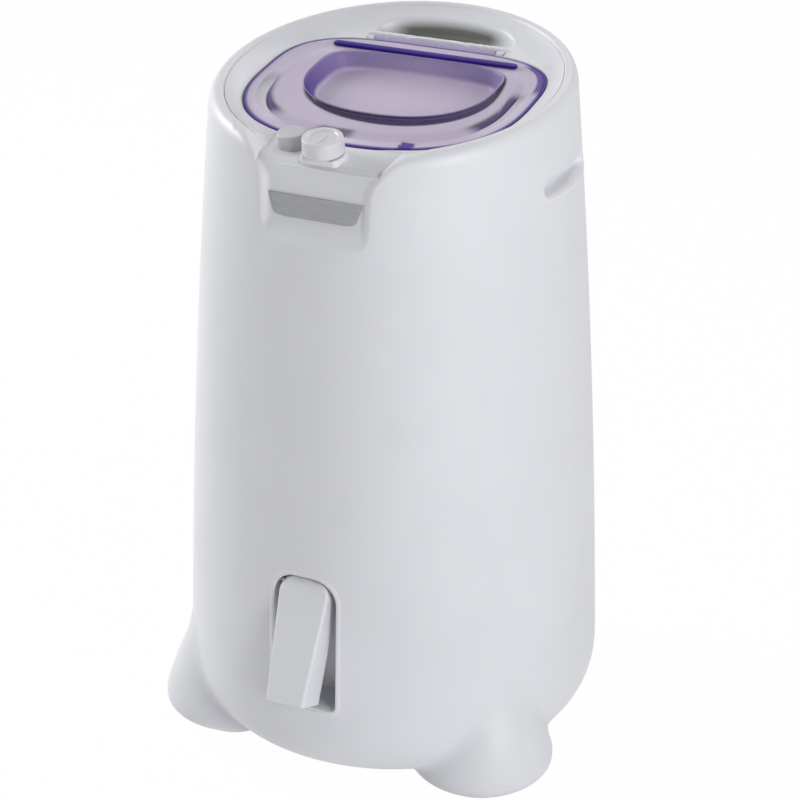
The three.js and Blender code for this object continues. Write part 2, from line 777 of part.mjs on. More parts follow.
function makeDeck() {
  const trayOuter = trayHalf + deckThickness;
  const lipHalf = trayHalf + lipOverlap;
  let deck = dishSolid();
  deck = deck.add(upright(recessShape(deckThickness), -recessDepth - deckThickness, deckFlat));
  deck = deck.add(upright(lidOutline(lidGap + deckThickness), seatLevel - deckThickness, deckFlat));
  deck = deck.add(block(-trayOuter, trayOuter, trayFront, hingeBack + deckThickness,
    hingeFoot - deckThickness, deckFlat));
  deck = deck.add(upright(lidOutline(mouthGrow + deckThickness), mouthSkirtFoot, seatLevel));
  deck = deck.add(block(-lipHalf, lipHalf, hingeBack, hingeBack + lipDepth, 0, deckFlat + lipHeight));
  deck = deck.subtract(block(-trayHalf, trayHalf, trayFront + deckThickness, hingeBack,
    hingeFoot, clearOfDeck));
  deck = deck.subtract(upright(recessShape(0), -recessDepth, clearOfDeck));
  deck = deck.subtract(ledgeRoom()).add(ledgeSolid());
  deck = deck.subtract(upright(lidOutline(lidGap), seatLevel, clearOfDeck));
  deck = deck.subtract(upright(lidOutline(mouthGrow), -clearOfDeck, clearOfDeck));
  const ear = makeHingeEar();
  deck = deck.add(ear).add(ear.mirror([1, 0, 0]));
  deck = deck.subtract(alongX(holeRadius(hingeRodRadius + touchGap, 12), -earEnd - overcut,
    earEnd + overcut, 12).translate([0, hingePlace, hingeLevel]));
  deck = cutForLidParts(deck);
  deck = cutForControls(deck);
  for (const boss of atDeckScrews(deckBoss())) deck = deck.add(boss);
  const pilot = disc(holeRadius(deckScrewRadius + runFit, 12), underShelf, deckLip - deckThickness, 12);
  for (const hole of atDeckScrews(pilot)) deck = deck.subtract(hole);
  return deck.transform(cantedPlace.elements);
}

// rounded in front, where the lid's back edge turns past it
function makeHingeEar() {
  const radius = hingeBarrelRadius - lidGap / 2;
  const start = earEnd - hingeEarWidth;
  const back = hingeBack + overcut;
  const nose = alongX(radius, start, earEnd).translate([0, hingePlace, hingeLevel]);
  const post = block(start, earEnd, hingePlace - radius, back, hingeFoot - overcut, hingeLevel);
  const rear = block(start, earEnd, hingePlace + 1, back, hingeLevel - 1, hingeLevel + radius - slideFit);
  return nose.add(post).add(rear);
}

const deckBoss = () => disc(deckBossRadius, shelfTop - deckPlane + touchGap, deckLip - deckThickness, 16);

// the dish and rim flange are cleared away over the ledge
function ledgeRoom() {
  const shape = new THREE.Shape();
  shape.moveTo(-ledgeHalfWidth, -clearOfDeck);
  shape.lineTo(ledgeHalfWidth, -clearOfDeck);
  shape.lineTo(ledgeHalfWidth + clearOfDeck, clearOfDeck);
  shape.lineTo(-ledgeHalfWidth - clearOfDeck, clearOfDeck);
  const high = facingFront(shape, lidFront, -beyond);
  return high.subtract(slab(-2 * clearOfDeck, ledgeTop - deckThickness));
}

function ledgeSolid() {
  const plate = ledgePrism(ledgeTop - deckThickness, ledgeTop);
  const pedestal = disc(pedestalRadius, ledgeTop - overcut, ledgeTop + pedestalHeight, 32)
    .translate([0, knobV, 0]).intersect(ledgePrism(-clearOfDeck, clearOfDeck));
  const guideRadius = holeRadius(buttonRadius + slideFit, 24) + guideWall;
  const guide = disc(guideRadius, -guideDepth, ledgeTop - overcut, 24)
    .translate([catchPlace, buttonV, 0]);
  const ribX = catchWidth / 2 + slideFit;
  const ribs = [-1, 1].map((side) => {
    const rib = block(ribX, ribX + guideWall, ledgeBack - ribLength, ledgeBack,
      boltTop - boltHeight, ledgeTop - overcut);
    return (side > 0 ? rib : rib.mirror([1, 0, 0])).translate([catchPlace, 0, 0]);
  });
  return plate.add(pedestal).add(guide).add(ribs[0]).add(ribs[1]);
}

function cutForLidParts(deck) {
  const slotFor = (x, width, v, thickness) => block(x - width / 2 - lidGap, x + width / 2 + lidGap,
    v - thickness / 2 - 2 * lidGap, v + thickness / 2 + 2 * lidGap, -clearOfDeck, 0);
  return deck.subtract(slotFor(tonguePlace, tongueWidth, tongueV, tongueThickness))
    .subtract(slotFor(catchPlace, catchWidth, catchV, catchThickness));
}

function cutForControls(deck) {
  const shaftHole = disc(timerShaftRadius + drillFit, -clearOfDeck, clearOfDeck, 16)
    .translate([0, knobV, 0]);
  const well = disc(holeRadius(buttonRadius + slideFit, 24), -clearOfDeck, clearOfDeck, 24)
    .translate([catchPlace, buttonV, 0]);
  const boltWay = block(catchPlace - catchWidth / 2 - slideFit, catchPlace + catchWidth / 2 + slideFit,
    boltBack - boltTravel - slideFit, catchV, boltTop - boltHeight - slideFit, boltTop + slideFit);
  return deck.subtract(shaftHole).subtract(well).subtract(boltWay);
}

function makeLid() {
  const collarInside = lidOutline(-collarInset - collarWall);
  const collar = upright(lidOutline(-collarInset), collarFoot, lidFoot + overcut)
    .subtract(upright(collarInside, collarFoot - overcut, lidTop + overcut));
  const floor = lidTop - pocketDepth;
  const plate = upright(lidOutline(0), lidFoot, lidTop);
  const barrel = alongX(hingeBarrelRadius, -hingeBarrelHalf, hingeBarrelHalf)
    .translate([0, hingePlace, hingeLevel]);
  const web = block(-hingeBarrelHalf, hingeBarrelHalf, hingePlace - hingeWeb, hingePlace, lidFoot, lidTop);
  const cup = drafted(pocketWall, floor - pocketWall, lidTop);
  const hollow = drafted(0, floor, lidTop + weldDistance);
  const catchPiece = block(catchPlace - catchWidth / 2, catchPlace + catchWidth / 2,
    catchV - catchThickness / 2, catchV + catchThickness / 2, catchFoot, lidFoot + overcut);
  const boreHalf = hingeBarrelHalf + overcut;
  const bore = alongX(holeRadius(hingeRodRadius + runFit, 24), -boreHalf, boreHalf)
    .translate([0, hingePlace, hingeLevel]);
  return plate.add(collar).add(barrel).add(web).add(cup).add(catchPiece)
    .subtract(hollow).subtract(bore);
}

// the lid's hand pocket, narrower at its floor than at its rim
function drafted(grow, foot, head) {
  const settings = { depth: head - foot, bevelEnabled: false, curveSegments: 8 };
  const geometry = new THREE.ExtrudeGeometry(pocketOutline(grow), settings);
  const position = geometry.attributes.position;
  for (let i = 0; i < position.count; i += 1) {
    const low = position.getZ(i) < 0.5 * (head - foot) ? (head - foot) / pocketDepth : 0;
    const x = position.getX(i);
    const y = position.getY(i) - pocketCentre;
    const share = 1 - low * pocketDraft / pocketHalfWidth;
    position.setXYZ(i, x * share, pocketCentre + y * share, position.getZ(i) + foot);
  }
  return toSolid(geometry);
}

function makeTongue() {
  const half = tongueWidth / 2;
  return block(tonguePlace - half, tonguePlace + half, tongueV - tongueThickness / 2,
    tongueV + tongueThickness / 2, tongueFoot, lidFoot - touchGap);
}

function makeLidBar() {
  const shape = capsule(2 * barHalfLength, 2 * barRadius);
  return upright(shape, lidTop + touchGap, lidTop + touchGap + barRadius, 6).translate([0, barPlace, 0]);
}

const makeHingeRod = () => {
  const half = earEnd - slideFit;
  return alongX(hingeRodRadius, -half, half, 24).translate([0, hingePlace, hingeLevel]);
};

function makeKnob() {
  const dish = knobHead - knobDish;
  const profile = [[0, knobFoot], [knobRadius - 1, knobFoot], [knobRadius, knobFoot + 1.5],
    [knobRadius - 0.6, knobHead - 3], [knobRadius - 1.6, knobHead - 0.8], [knobRadius - 3, knobHead],
    [knobRadius - 4.5, knobHead - 0.5], [knobRadius - 6, dish], [0, dish]];
  const pointer = block(-pointerWidth / 2, pointerWidth / 2, 8 - knobRadius, -timerShaftRadius,
    dish - overcut, dish + pointerHeight);
  const bore = disc(timerShaftRadius + touchGap, knobFoot - overcut, timerShaftHead + touchGap, 16);
  return turnedSolid(profile, 32).add(pointer).subtract(bore).translate([0, knobV, 0]);
}

const makeTimerShaft = () => disc(timerShaftRadius, timerShaftFoot, timerShaftHead, 16)
  .translate([0, knobV, 0]);

function makeTimerBody() {
  const half = timerWidth / 2;
  const box = block(-half, half, timerV - timerDepth / 2, timerV + timerDepth / 2,
    timerTop - timerHeight, timerTop);
  const bore = disc(holeRadius(timerShaftRadius + runFit, 16), timerShaftFoot - touchGap, ledgeTop, 16);
  return box.subtract(bore.translate([0, knobV, 0])).subtract(buttonRoom());
}

// keeps the timer clear of the button's guide
const buttonRoom = () => disc(buttonRadius + guideWall + 2 * slideFit, -2 * clearOfDeck, ledgeTop, 24)
  .translate([catchPlace, buttonV, 0]);

function makeButton() {
  const profile = [[0, buttonFoot], [buttonRadius, buttonFoot], [buttonRadius, buttonTop - 2.5],
    [buttonRadius - 0.8, buttonTop - 0.7], [buttonRadius - 2.6, buttonTop], [0, buttonTop]];
  return turnedSolid(profile, 24).translate([catchPlace, buttonV, 0]);
}

// under the part of the button that is clear of the bolt
function makeButtonSpring() {
  return ring(springRadius - springWall, springRadius, -guideDepth, buttonFoot - touchGap, 16)
    .translate([catchPlace, buttonV - springOffset, 0]);
}

function makeBolt() {
  const half = catchWidth / 2;
  return block(catchPlace - half, catchPlace + half, boltBack, boltFront, boltTop - boltHeight, boltTop);
}

function makeLidSwitch() {
  const head = tongueFoot - switchDrop;
  const half = tongueWidth / 2 + switchEndRoom;
  const body = block(tonguePlace - half, tonguePlace + half, tongueV - switchHalfDepth,
    tongueV + switchHalfDepth, head - switchHeight, head - plungerHeight);
  const plunger = disc(plungerRadius, head - plungerHeight - overcut, head, 12);
  return body.add(plunger.translate([tonguePlace, tongueV, 0]));
}

function makeDeckScrews() {
  const headTop = underShelf - touchGap;
  const screw = disc(deckScrewHead, headTop - deckScrewHeadHeight, headTop, 12)
    .add(disc(deckScrewRadius, headTop - overcut, deckLip - deckThickness - 1, 12));
  return atDeckScrews(screw);
}

// ---- label plate ----

function makeLabelPlate() {
  const shape = new THREE.Shape();
  const foot = plateTop - plateHeight;
  shape.moveTo(-plateTopHalf, plateTop);
  shape.lineTo(-plateFootHalf - 1.5, foot + plateCorner);
  shape.quadraticCurveTo(-plateFootHalf, foot, -plateFootHalf + plateCorner, foot);
  shape.lineTo(plateFootHalf - plateCorner, foot);
  shape.quadraticCurveTo(plateFootHalf, foot, plateFootHalf + 1.5, foot + plateCorner);
  shape.lineTo(plateTopHalf, plateTop);
  const inFront = (distance) => scoopSpace(0).translate([0, -distance, 0]);
  return facingFront(shape, -scoopFace + 10, -scoopFace - 30)
    .intersect(inFront(touchGap)).subtract(inFront(touchGap + plateThickness));
}

// ---- spout ----

function makeSpoutHousing() {
  const outer = facingFront(archShape(housingWall), -housingBack, -beyond, 5);
  const inner = facingFront(archShape(0), -housingBack - housingWall, -beyond, 5);
  const inlet = facingFront(circle(drainRadius + hoseWall + touchGap), overcut - housingBack,
    -housingBack - housingWall - overcut).translate([0, 0, drainZ]);
  const pinReach = slotHalfWidth + housingWall + overcut;
  const pinHole = alongX(holeRadius(spoutPinRadius + touchGap, 12), -pinReach, pinReach, 12)
    .translate([0, -spoutPivotY, spoutPivotZ]);
  return outer.subtract(inner).intersect(cabinetOuter(housingProud)).subtract(inlet).subtract(pinHole);
}

function spoutBlock(topHalf, footHalf, front, topDepth, footDepth, head, foot) {
  const shape = new THREE.Shape();
  shape.moveTo(-front, foot);
  shape.lineTo(-front, head - spoutBrow);
  shape.quadraticCurveTo(-front, head, -front + spoutBrow, head);
  shape.lineTo(-front + topDepth, head);
  shape.lineTo(-front + footDepth, foot);
  const settings = { depth: 2, bevelEnabled: false, curveSegments: 4 };
  const geometry = new THREE.ExtrudeGeometry(shape, settings);
  const position = geometry.attributes.position;
  for (let i = 0; i < position.count; i += 1) {
    const y = position.getX(i);
    const z = position.getY(i);
    const side = position.getZ(i) - 1;
    const half = THREE.MathUtils.lerp(footHalf, topHalf, (z - foot) / (head - foot));
    position.setXYZ(i, side * half, y, z);
  }
  geometry.index = null;
  return toSolid(geometry);
}

function makeSpout() {
  const openBack = 20;           // how far the hollow runs out behind
  const outer = spoutBlock(spoutTopHalf, spoutFootHalf, spoutFace, spoutTopDepth, spoutFootDepth,
    spoutHead, -spoutLength);
  const inner = spoutBlock(spoutTopHalf - spoutWall, spoutFootHalf - spoutWall, spoutFace - spoutWall,
    spoutTopDepth + openBack, spoutFootDepth + openBack, spoutHead - spoutWall, -spoutLength - overcut);
  const bore = alongX(holeRadius(spoutPinRadius + runFit, 24), -slotHalfWidth, slotHalfWidth);
  const headShape = new THREE.Shape();
  const half = spoutTopHalf + overcut;
  headShape.moveTo(-half, -2 * spoutLength);
  headShape.lineTo(half, -2 * spoutLength);
  headShape.lineTo(half, spoutHead - spoutCorner);
  headShape.quadraticCurveTo(half, spoutHead, half - spoutCorner, spoutHead);
  headShape.lineTo(spoutCorner - half, spoutHead);
  headShape.quadraticCurveTo(-half, spoutHead, -half, spoutHead - spoutCorner);
  const headPrism = facingFront(headShape, spoutFootDepth + openBack, -spoutFootDepth, 4);
  return outer.subtract(inner).subtract(bore).intersect(headPrism);
}

const makeSpoutPin = () => {
  const half = slotHalfWidth + housingWall - slideFit;
  return alongX(spoutPinRadius, -half, half).translate([0, -spoutPivotY, spoutPivotZ]);
};

class Route extends THREE.Curve {
  constructor(points) {
    super();
    const corners = points.map((p) => new THREE.Vector3(...p));
    this.inner = new THREE.CatmullRomCurve3(corners, false, 'centripetal');
  }

  getPoint(t, target = new THREE.Vector3()) {
    return this.inner.getPoint(t, target);
  }
}

function tubeAlong(points, radius, steps, sides = 8) {
  const shape = new THREE.Shape();
  for (let i = 0; i < sides; i += 1) {
    const angle = (i / sides) * 2 * Math.PI;
    const x = radius * Math.cos(angle);
    const y = radius * Math.sin(angle);
    if (i === 0) shape.moveTo(x, y);
    else shape.lineTo(x, y);
  }
  shape.closePath();
  return toSolid(new THREE.ExtrudeGeometry(shape, { steps, extrudePath: new Route(points) }));
}

function makeDrainHose() {
  const front = -housingBack - housingWall + slideFit;
  const bend = 6;
  const points = [[0, drainY, tubFloor - touchGap], [0, drainY, tubFloor - 2 * bend],
    [0, drainY - bend, drainZ + bend], [0, -housingBack + 8, drainZ], [0, front, drainZ]];
  const longer = [[0, drainY, tubFloor + hoseWall], ...points, [0, front - hoseWall, drainZ]];
  const outer = tubeAlong(points, drainRadius + hoseWall, 10, 10);
  return outer.subtract(tubeAlong(longer, drainRadius, 12, 10));
}

// ---- feet ----

function footProfile() {
  const belly = footWidest;
  return [[0, footFloor], [belly - 31, footFloor], [belly - 23, 9], [belly - 14, 16], [belly - 5, 28],
    [belly, 43], [belly - 1.5, 56], [belly - 11, 80], [belly - 29, footTop], [0, footTop]];
}

function footHollow() {
  const belly = footWidest - wall;
  return [[footPostRadius, footFloor + 2 * wall], [belly - 23, footFloor + 2 * wall],
    [belly - 13, 18.5], [belly - 4.7, 29.5], [belly, 43.5], [belly - 2, 56], [belly - 28, footTop + 1],
    [footPostRadius, footTop + 1], [footPostRadius, footFloor + 2 * wall]];
}

function makeFoot(place) {
  const padPocket = disc(holeRadius(padRadius + slideFit, 24), -overcut, padThickness + touchGap, 24);
  const screwSeat = disc(footScrewHead + touchGap, -overcut, footScrewSeat, 16);
  const screwHole = disc(footScrewRadius + touchGap, 0, footTop + overcut, 12);
  const pod = turnedSolid(footProfile(), 24).subtract(turnedSolid(footHollow(), 24))
    .subtract(padPocket).subtract(screwSeat).subtract(screwHole).translate(place);
  return pod.subtract(cabinetOuter(touchGap));
}

const makeFootPad = () => ring(padHole, padRadius, 0, padThickness, 24);

function makeFootScrew() {
  const headTop = footScrewSeat - touchGap;
  return disc(footScrewHead, headTop - footScrewHeadHeight, headTop, 6)
    .add(disc(footScrewRadius, headTop - overcut, footScrewTop, 12));
}

// ---- tub and drum ----

function makeTub() {
  const inner = tubRadius - tubWall;
  const profile = [[sealRadius + touchGap, tubFloor], [tubRadius - tubCorner, tubFloor],
    [tubRadius, tubFloor + tubCorner], [tubRadius, tubTop], [inner, tubTop], [inner, tubFloor + tubCorner],
    [inner - tubCorner, tubFloor + wall], [sealRadius + touchGap, tubFloor + wall],
    [sealRadius + touchGap, tubFloor]];
  const outlet = disc(drainRadius, tubFloor - overcut, tubFloor + tubCorner + overcut, 12)
    .translate([0, drainY, 0]);
  return turnedSolid(profile, 40).subtract(outlet);
}

function makeTubCover() {
  const foot = tubTop + touchGap;
  const head = foot + tubCoverThickness;
  const inner = tubCollarRadius;
  const outer = tubCollarRadius + tubCollarWall;
  const profile = [[inner, foot], [tubRadius - tubWall, foot], [tubRadius, foot], [tubRadius, head],
    [outer, head], [outer, rimLevel], [inner, rimLevel], [inner, foot]];
  return turnedSolid(profile, 40).subtract(canted(slab(tubCollarTop, beyond)));
}

const makeShaftSeal = () => {
  const foot = tubFloor - 2;     // stands a little below the tub
  return ring(holeRadius(shaftRadius + runFit, 24), sealRadius, foot, foot + sealHeight, 24);
};

function drumHoles() {
  const drills = [];
  for (let row = 0; row < drumHoleRows; row += 1) {
    const z = drumFloor + drumHoleRise + row * drumHoleStep;
    for (let i = 0; i < drumHolesPerRow / 2; i += 1) {
      const turn = (i + (row % 2) / 2) * 360 / drumHolesPerRow;
      const drill = alongX(drumHoleRadius, -tubRadius, tubRadius, 6);
      drills.push(drill.rotate([0, 0, turn]).translate([0, 0, z]));
    }
  }
  return drills;
}

function makeDrum() {
  const inner = drumRadius - drumWall;
  const bore = shaftRadius + touchGap;
  const profile = [[bore, drumFloor], [drumRadius - drumCorner, drumFloor],
    [drumRadius, drumFloor + drumCorner], [drumRadius, drumTop], [drumMouth, drumTop],
    [drumMouth, drumTop - drumWall], [inner, drumTop - drumWall], [inner, drumFloor + drumCorner + 0.5],
    [inner - drumCorner + 1, drumFloor + drumWall], [bore, drumFloor + drumWall], [bore, drumFloor]];
  let drum = turnedSolid(profile, 40);
  for (const drill of drumHoles()) drum = drum.subtract(drill);
  return drum;
}

function makeBalanceRing() {
  const outer = drumRadius - 1;
  const head = ringFoot + ringHeight;
  const chamfer = ringChamfer;
  const profile = [[drumMouth, ringFoot], [outer, ringFoot], [outer, head - chamfer],
    [outer - chamfer, head], [drumMouth + chamfer + 1, head],
    [drumMouth, head - chamfer - 1], [drumMouth, ringFoot]];
  return turnedSolid(profile, 40);
}

function makeHub() {
  const foot = drumFloor + drumWall + touchGap;
  const bore = shaftRadius + touchGap;
  return turnedSolid([[bore, foot], [hubRadius, foot], [hubRadius, foot + hubRim],
    [bore + hubBoss, foot + hubHeight], [bore, foot + hubHeight], [bore, foot]], 32);
}

const makeNut = () => disc(nutRadius, nutFoot, nutFoot + nutHeight, 6)
  .subtract(disc(shaftRadius + touchGap, nutFoot - overcut, nutFoot + nutHeight + overcut, 24));

function makeShaft() {
  const shoulder = drumFloor - touchGap;
  return disc(shaftRadius, shaftFoot, nutFoot + nutHeight + shaftTip, 24)
    .add(disc(shaftRadius + shaftCollarWidth, shoulder - shaftCollarHeight, shoulder, 24));
}

// ---- motor, brake and suspension ----

const atMounts = (make) => [90, 210, 330].map((degrees) => {
  const angle = THREE.MathUtils.degToRad(degrees);
  return make().translate([mountReach * Math.cos(angle), mountReach * Math.sin(angle), 0]);
});

// with a hole for each mount bolt
const drilledForMounts = (plate) => atMounts(() => disc(boltShank + touchGap, 0, motorTop, 12))
  .reduce((left, hole) => left.subtract(hole), plate);

const makeBasePan = () => drilledForMounts(disc(panRadius, panFoot, panTop, 40));

const makeRubberMount = () => ring(boltShank + touchGap, mountRadius, panTop + touchGap,
  plateFoot - touchGap, 16);

const makeMountBolt = () => disc(boltHead, plateHead + touchGap, plateHead + touchGap + boltHeadHeight, 6)
  .add(disc(boltShank, panFoot + overcut - touchGap, plateHead + overcut, 12));

const makeMotorPlate = () => drilledForMounts(ring(motorPlateHole, plateRadius, plateFoot, plateHead, 32));

function makeLowerShield() {
  const bore = bearingRadius + touchGap;
  return ring(bore, motorRadius, lowerShield, lowerShield + shieldThickness, 32);
}

// carries the pin of the brake lever on a lug at its edge
function makeUpperShield() {
  const shield = ring(bearingRadius + touchGap, motorRadius, upperShield, motorTop, 32);
  const lug = block(leverX - leverBoss, leverX + leverBoss, leverPivotY - leverBoss,
    leverPivotY + leverBoss, motorTop - wall, leverFoot - slideFit);
  const pin = disc(leverPinRadius, motorTop, leverFoot + leverThickness + 2, 24)
    .translate([leverX, leverPivotY, 0]);
  return shield.add(lug).add(pin);
}

const makeBearing = (foot) => ring(holeRadius(shaftRadius + runFit, 24), bearingRadius, foot,
  foot + bearingHeight, 24);

const makeStator = () => ring(rotorRadius + airGap, motorRadius, statorFoot, statorFoot + statorHeight, 32);

const makeRotor = () => ring(shaftRadius + touchGap, rotorRadius, statorFoot + rotorInset,
  statorFoot + statorHeight - rotorInset, 24);

function makeFan() {
  const foot = shaftFoot + 1;
  const boss = shaftRadius + fanBoss;
  let fan = ring(shaftRadius + touchGap, boss, foot, foot + fanHeight, 24);
  for (let i = 0; i < fanBlades; i += 1) {
    const blade = block(boss - 2, fanRadius, -1, 1, foot, foot + fanHeight);
    fan = fan.add(blade.rotate([0, 0, i * 360 / fanBlades]));
  }
  return fan;
}

function makeBrakeDrum() {
  const bore = shaftRadius + touchGap;
  const profile = [[bore, brakeFoot], [brakeRadius, brakeFoot], [brakeRadius, brakeFoot + brakeHeight],
    [brakeRadius - brakeWall, brakeFoot + brakeHeight], [brakeRadius - brakeWall, brakeFoot + brakeWall],
    [bore + fanBoss, brakeFoot + brakeWall], [bore + fanBoss, brakeFoot + brakeHeight],
    [bore, brakeFoot + brakeHeight], [bore, brakeFoot]];
  return turnedSolid(profile, 32);
}

function makeLever() {
  const head = leverFoot + leverThickness;
  const arm = block(leverX - leverWidth / 2, leverX + leverWidth / 2, leverEndY, leverPivotY,
    leverFoot, head);
  const boss = disc(leverBoss, leverFoot, head, 24).translate([leverX, leverPivotY, 0]);
  const bore = disc(holeRadius(leverPinRadius + runFit, 24), 0, tubFloor, 24)
    .translate([leverX, leverPivotY, 0]);
  return arm.add(boss).subtract(bore);
}

function makeLining() {
  const back = leverX - leverWidth / 2 - touchGap;
  const face = back - liningThickness - touchGap;
  const pad = block(face, back, -liningLength / 2, liningLength / 2, leverFoot - 1,
    leverFoot + leverThickness + 1);
  return pad.subtract(disc(face, 0, tubFloor, 64));
}

function makeBrakeCable() {
  const z = leverFoot + leverThickness / 2;
  const around = -60 * Math.PI / 180;
  const besideTub = (gap, level) => [
    (tubRadius + gap) * Math.cos(around), (tubRadius + gap) * Math.sin(around), level,
  ];
  const points = [besideTub(6.5, tubTop + 6), besideTub(9.7, tubTop - 94), besideTub(15.6, tubFloor + 118),
    besideTub(15.6, tubFloor + 23), besideTub(-1, z + 4), [66, -84, z], [leverX, leverEndY - 4, z]];
  return tubeAlong(points, cableRadius, 24, 6);
}

const makeCapacitor = () => disc(capacitorRadius, plateHead + touchGap, plateHead + capacitorHeight, 24)
  .translate([capacitorX, capacitorY, 0]);

function makeGland() {
  const seat = cabinetRadius(glandLevel) + glandProud;
  const body = facingFront(circle(glandRadius), seat + glandNose, seat - glandLength, 6);
  const flange = facingFront(circle(glandFlange), seat + glandFlangeThickness, seat, 6);
  const bore = facingFront(circle(glandBore), seat + glandNose + overcut,
    seat - glandLength + glandFlangeThickness, 4);
  return body.add(flange).subtract(bore).translate([0, 0, glandLevel]);
}

// ---- assembly ----

const dryer = new THREE.Group();
dryer.name = 'laundry_spin_dryer';

const top = new THREE.Group();
top.position.z = deckPlane;
top.rotation.x = cantAngle;
dryer.add(top);

const spoutPivot = new THREE.Group();
spoutPivot.position.set(0, -spoutPivotY, spoutPivotZ);
spoutPivot.rotation.x = -spoutSlant;
dryer.add(spoutPivot);

const add = (group, name, solid, material) => group.add(toMesh(name, solid, finish[material]));

add(dryer, 'cabinet_shell', makeCabinet(), 'whiteCase');
add(dryer, 'top_deck', makeDeck(), 'whiteCase');
add(dryer, 'label_plate', makeLabelPlate(), 'greyPlate');
add(dryer, 'base_pan', makeBasePan(), 'blackPlastic');
add(dryer, 'cord_gland', makeGland(), 'blackPlastic');

for (const [place, angle] of Object.entries(footAngles)) {
  const centre = footPlace(angle);
  add(dryer, `foot_${place}`, makeFoot(centre), 'whiteCase');
  add(dryer, `foot_pad_${place}`, makeFootPad().translate(centre), 'rubber');
  add(dryer, `foot_screw_${place}`, makeFootScrew().translate(centre), 'steel');
}

add(dryer, 'spout_housing', makeSpoutHousing(), 'whiteCase');
add(spoutPivot, 'drain_spout', makeSpout(), 'whiteCase');
add(dryer, 'spout_pin', makeSpoutPin(), 'steel');
add(dryer, 'drain_hose', makeDrainHose(), 'rubber');

add(top, 'lid', makeLid(), 'violetClear');
add(top, 'lid_bar', makeLidBar(), 'violetDeep');
add(top, 'lid_tongue', makeTongue(), 'violetDeep');
add(top, 'lid_hinge_rod', makeHingeRod(), 'steel');
add(top, 'lid_switch', makeLidSwitch(), 'blackPlastic');
add(top, 'timer_knob', makeKnob(), 'whiteCase');
add(top, 'timer_shaft', makeTimerShaft(), 'steel');
add(top, 'timer_body', makeTimerBody(), 'blackPlastic');
add(top, 'release_button', makeButton(), 'whiteCase');
add(top, 'button_spring', makeButtonSpring(), 'steel');
add(top, 'latch_bolt', makeBolt(), 'blackPlastic');
makeDeckScrews().forEach((screw, i) => add(top, `deck_screw_${i + 1}`, screw, 'steel'));

add(dryer, 'tub', makeTub(), 'whiteCase');
add(dryer, 'tub_cover', makeTubCover(), 'whiteCase');
add(dryer, 'shaft_seal', makeShaftSeal(), 'rubber');
add(dryer, 'spin_drum', makeDrum(), 'stainless');
add(dryer, 'drum_balance_ring', makeBalanceRing(), 'whiteCase');
add(dryer, 'drum_hub', makeHub(), 'castMetal');
add(dryer, 'drum_nut', makeNut(), 'steel');
add(dryer, 'drive_shaft', makeShaft(), 'steel');

add(dryer, 'motor_plate', makeMotorPlate(), 'painted');
add(dryer, 'motor_stator', makeStator(), 'painted');
add(dryer, 'motor_shield_lower', makeLowerShield(), 'castMetal');
add(dryer, 'motor_shield_upper', makeUpperShield(), 'castMetal');
add(dryer, 'motor_rotor', makeRotor(), 'castMetal');
add(dryer, 'bearing_lower', makeBearing(lowerShield - bearingProud), 'steel');
add(dryer, 'bearing_upper', makeBearing(motorTop - bearingHeight + bearingProud), 'steel');
add(dryer, 'cooling_fan', makeFan(), 'blackPlastic');
add(dryer, 'brake_drum', makeBrakeDrum(), 'castMetal');
add(dryer, 'brake_lever', makeLever(), 'steel');
add(dryer, 'brake_lining', makeLining(), 'rubber');
add(dryer, 'brake_cable', makeBrakeCable(), 'blackPlastic');
add(dryer, 'run_capacitor', makeCapacitor(), 'castMetal');
atMounts(makeRubberMount).forEach((solid, i) => add(dryer, `rubber_mount_${i + 1}`, solid, 'rubber'));
atMounts(makeMountBolt).forEach((solid, i) => add(dryer, `mount_bolt_${i + 1}`, solid, 'steel'));

export default dryer;
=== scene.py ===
import math

import bmesh
import bpy
import numpy as np
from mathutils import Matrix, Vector


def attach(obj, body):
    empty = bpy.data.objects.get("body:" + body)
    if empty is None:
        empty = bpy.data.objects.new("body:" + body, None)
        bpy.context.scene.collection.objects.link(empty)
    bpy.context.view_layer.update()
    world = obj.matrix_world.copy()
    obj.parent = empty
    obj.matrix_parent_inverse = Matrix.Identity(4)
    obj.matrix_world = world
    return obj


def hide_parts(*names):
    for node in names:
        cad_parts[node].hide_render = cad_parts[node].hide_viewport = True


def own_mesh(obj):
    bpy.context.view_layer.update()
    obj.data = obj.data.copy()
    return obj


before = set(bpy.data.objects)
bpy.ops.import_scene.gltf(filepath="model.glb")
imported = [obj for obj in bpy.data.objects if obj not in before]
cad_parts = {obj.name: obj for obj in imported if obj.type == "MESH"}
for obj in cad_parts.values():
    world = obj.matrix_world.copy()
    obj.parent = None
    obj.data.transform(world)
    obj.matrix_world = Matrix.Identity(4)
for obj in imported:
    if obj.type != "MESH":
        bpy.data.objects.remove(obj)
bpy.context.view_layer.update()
mm = 0.001
print("frame loaded")


def addObject(name, data):
    made = bpy.data.objects.new(name, data)
    bpy.context.scene.collection.objects.link(made)
    return made


# the camera as the photograph was taken: metres, degrees and millimetres of lens
camera = {"place": (0.8428, -1.8181, 1.3008), "tilt": 64.62, "turn": 24.87, "lens": 102.6,
          "shiftX": 0.0074, "shiftY": -0.0056}
lensData = bpy.data.cameras.new("photoCamera")
lensData.lens = camera["lens"]
lensData.sensor_width = 36
lensData.shift_x = camera["shiftX"]
lensData.shift_y = camera["shiftY"]
photoCamera = addObject("photoCamera", lensData)
photoCamera.location = camera["place"]
photoCamera.rotation_euler = (math.radians(camera["tilt"]), 0, math.radians(camera["turn"]))
bpy.context.scene.camera = photoCamera


def linear(hexText):
    # sRGB hex to linear light, by the sRGB curve
    parts = [int(hexText[i:i + 2], 16) / 255 for i in (0, 2, 4)]
    return tuple(p / 12.92 if p <= 0.04045 else ((p + 0.055) / 1.055) ** 2.4 for p in parts) + (1.0,)


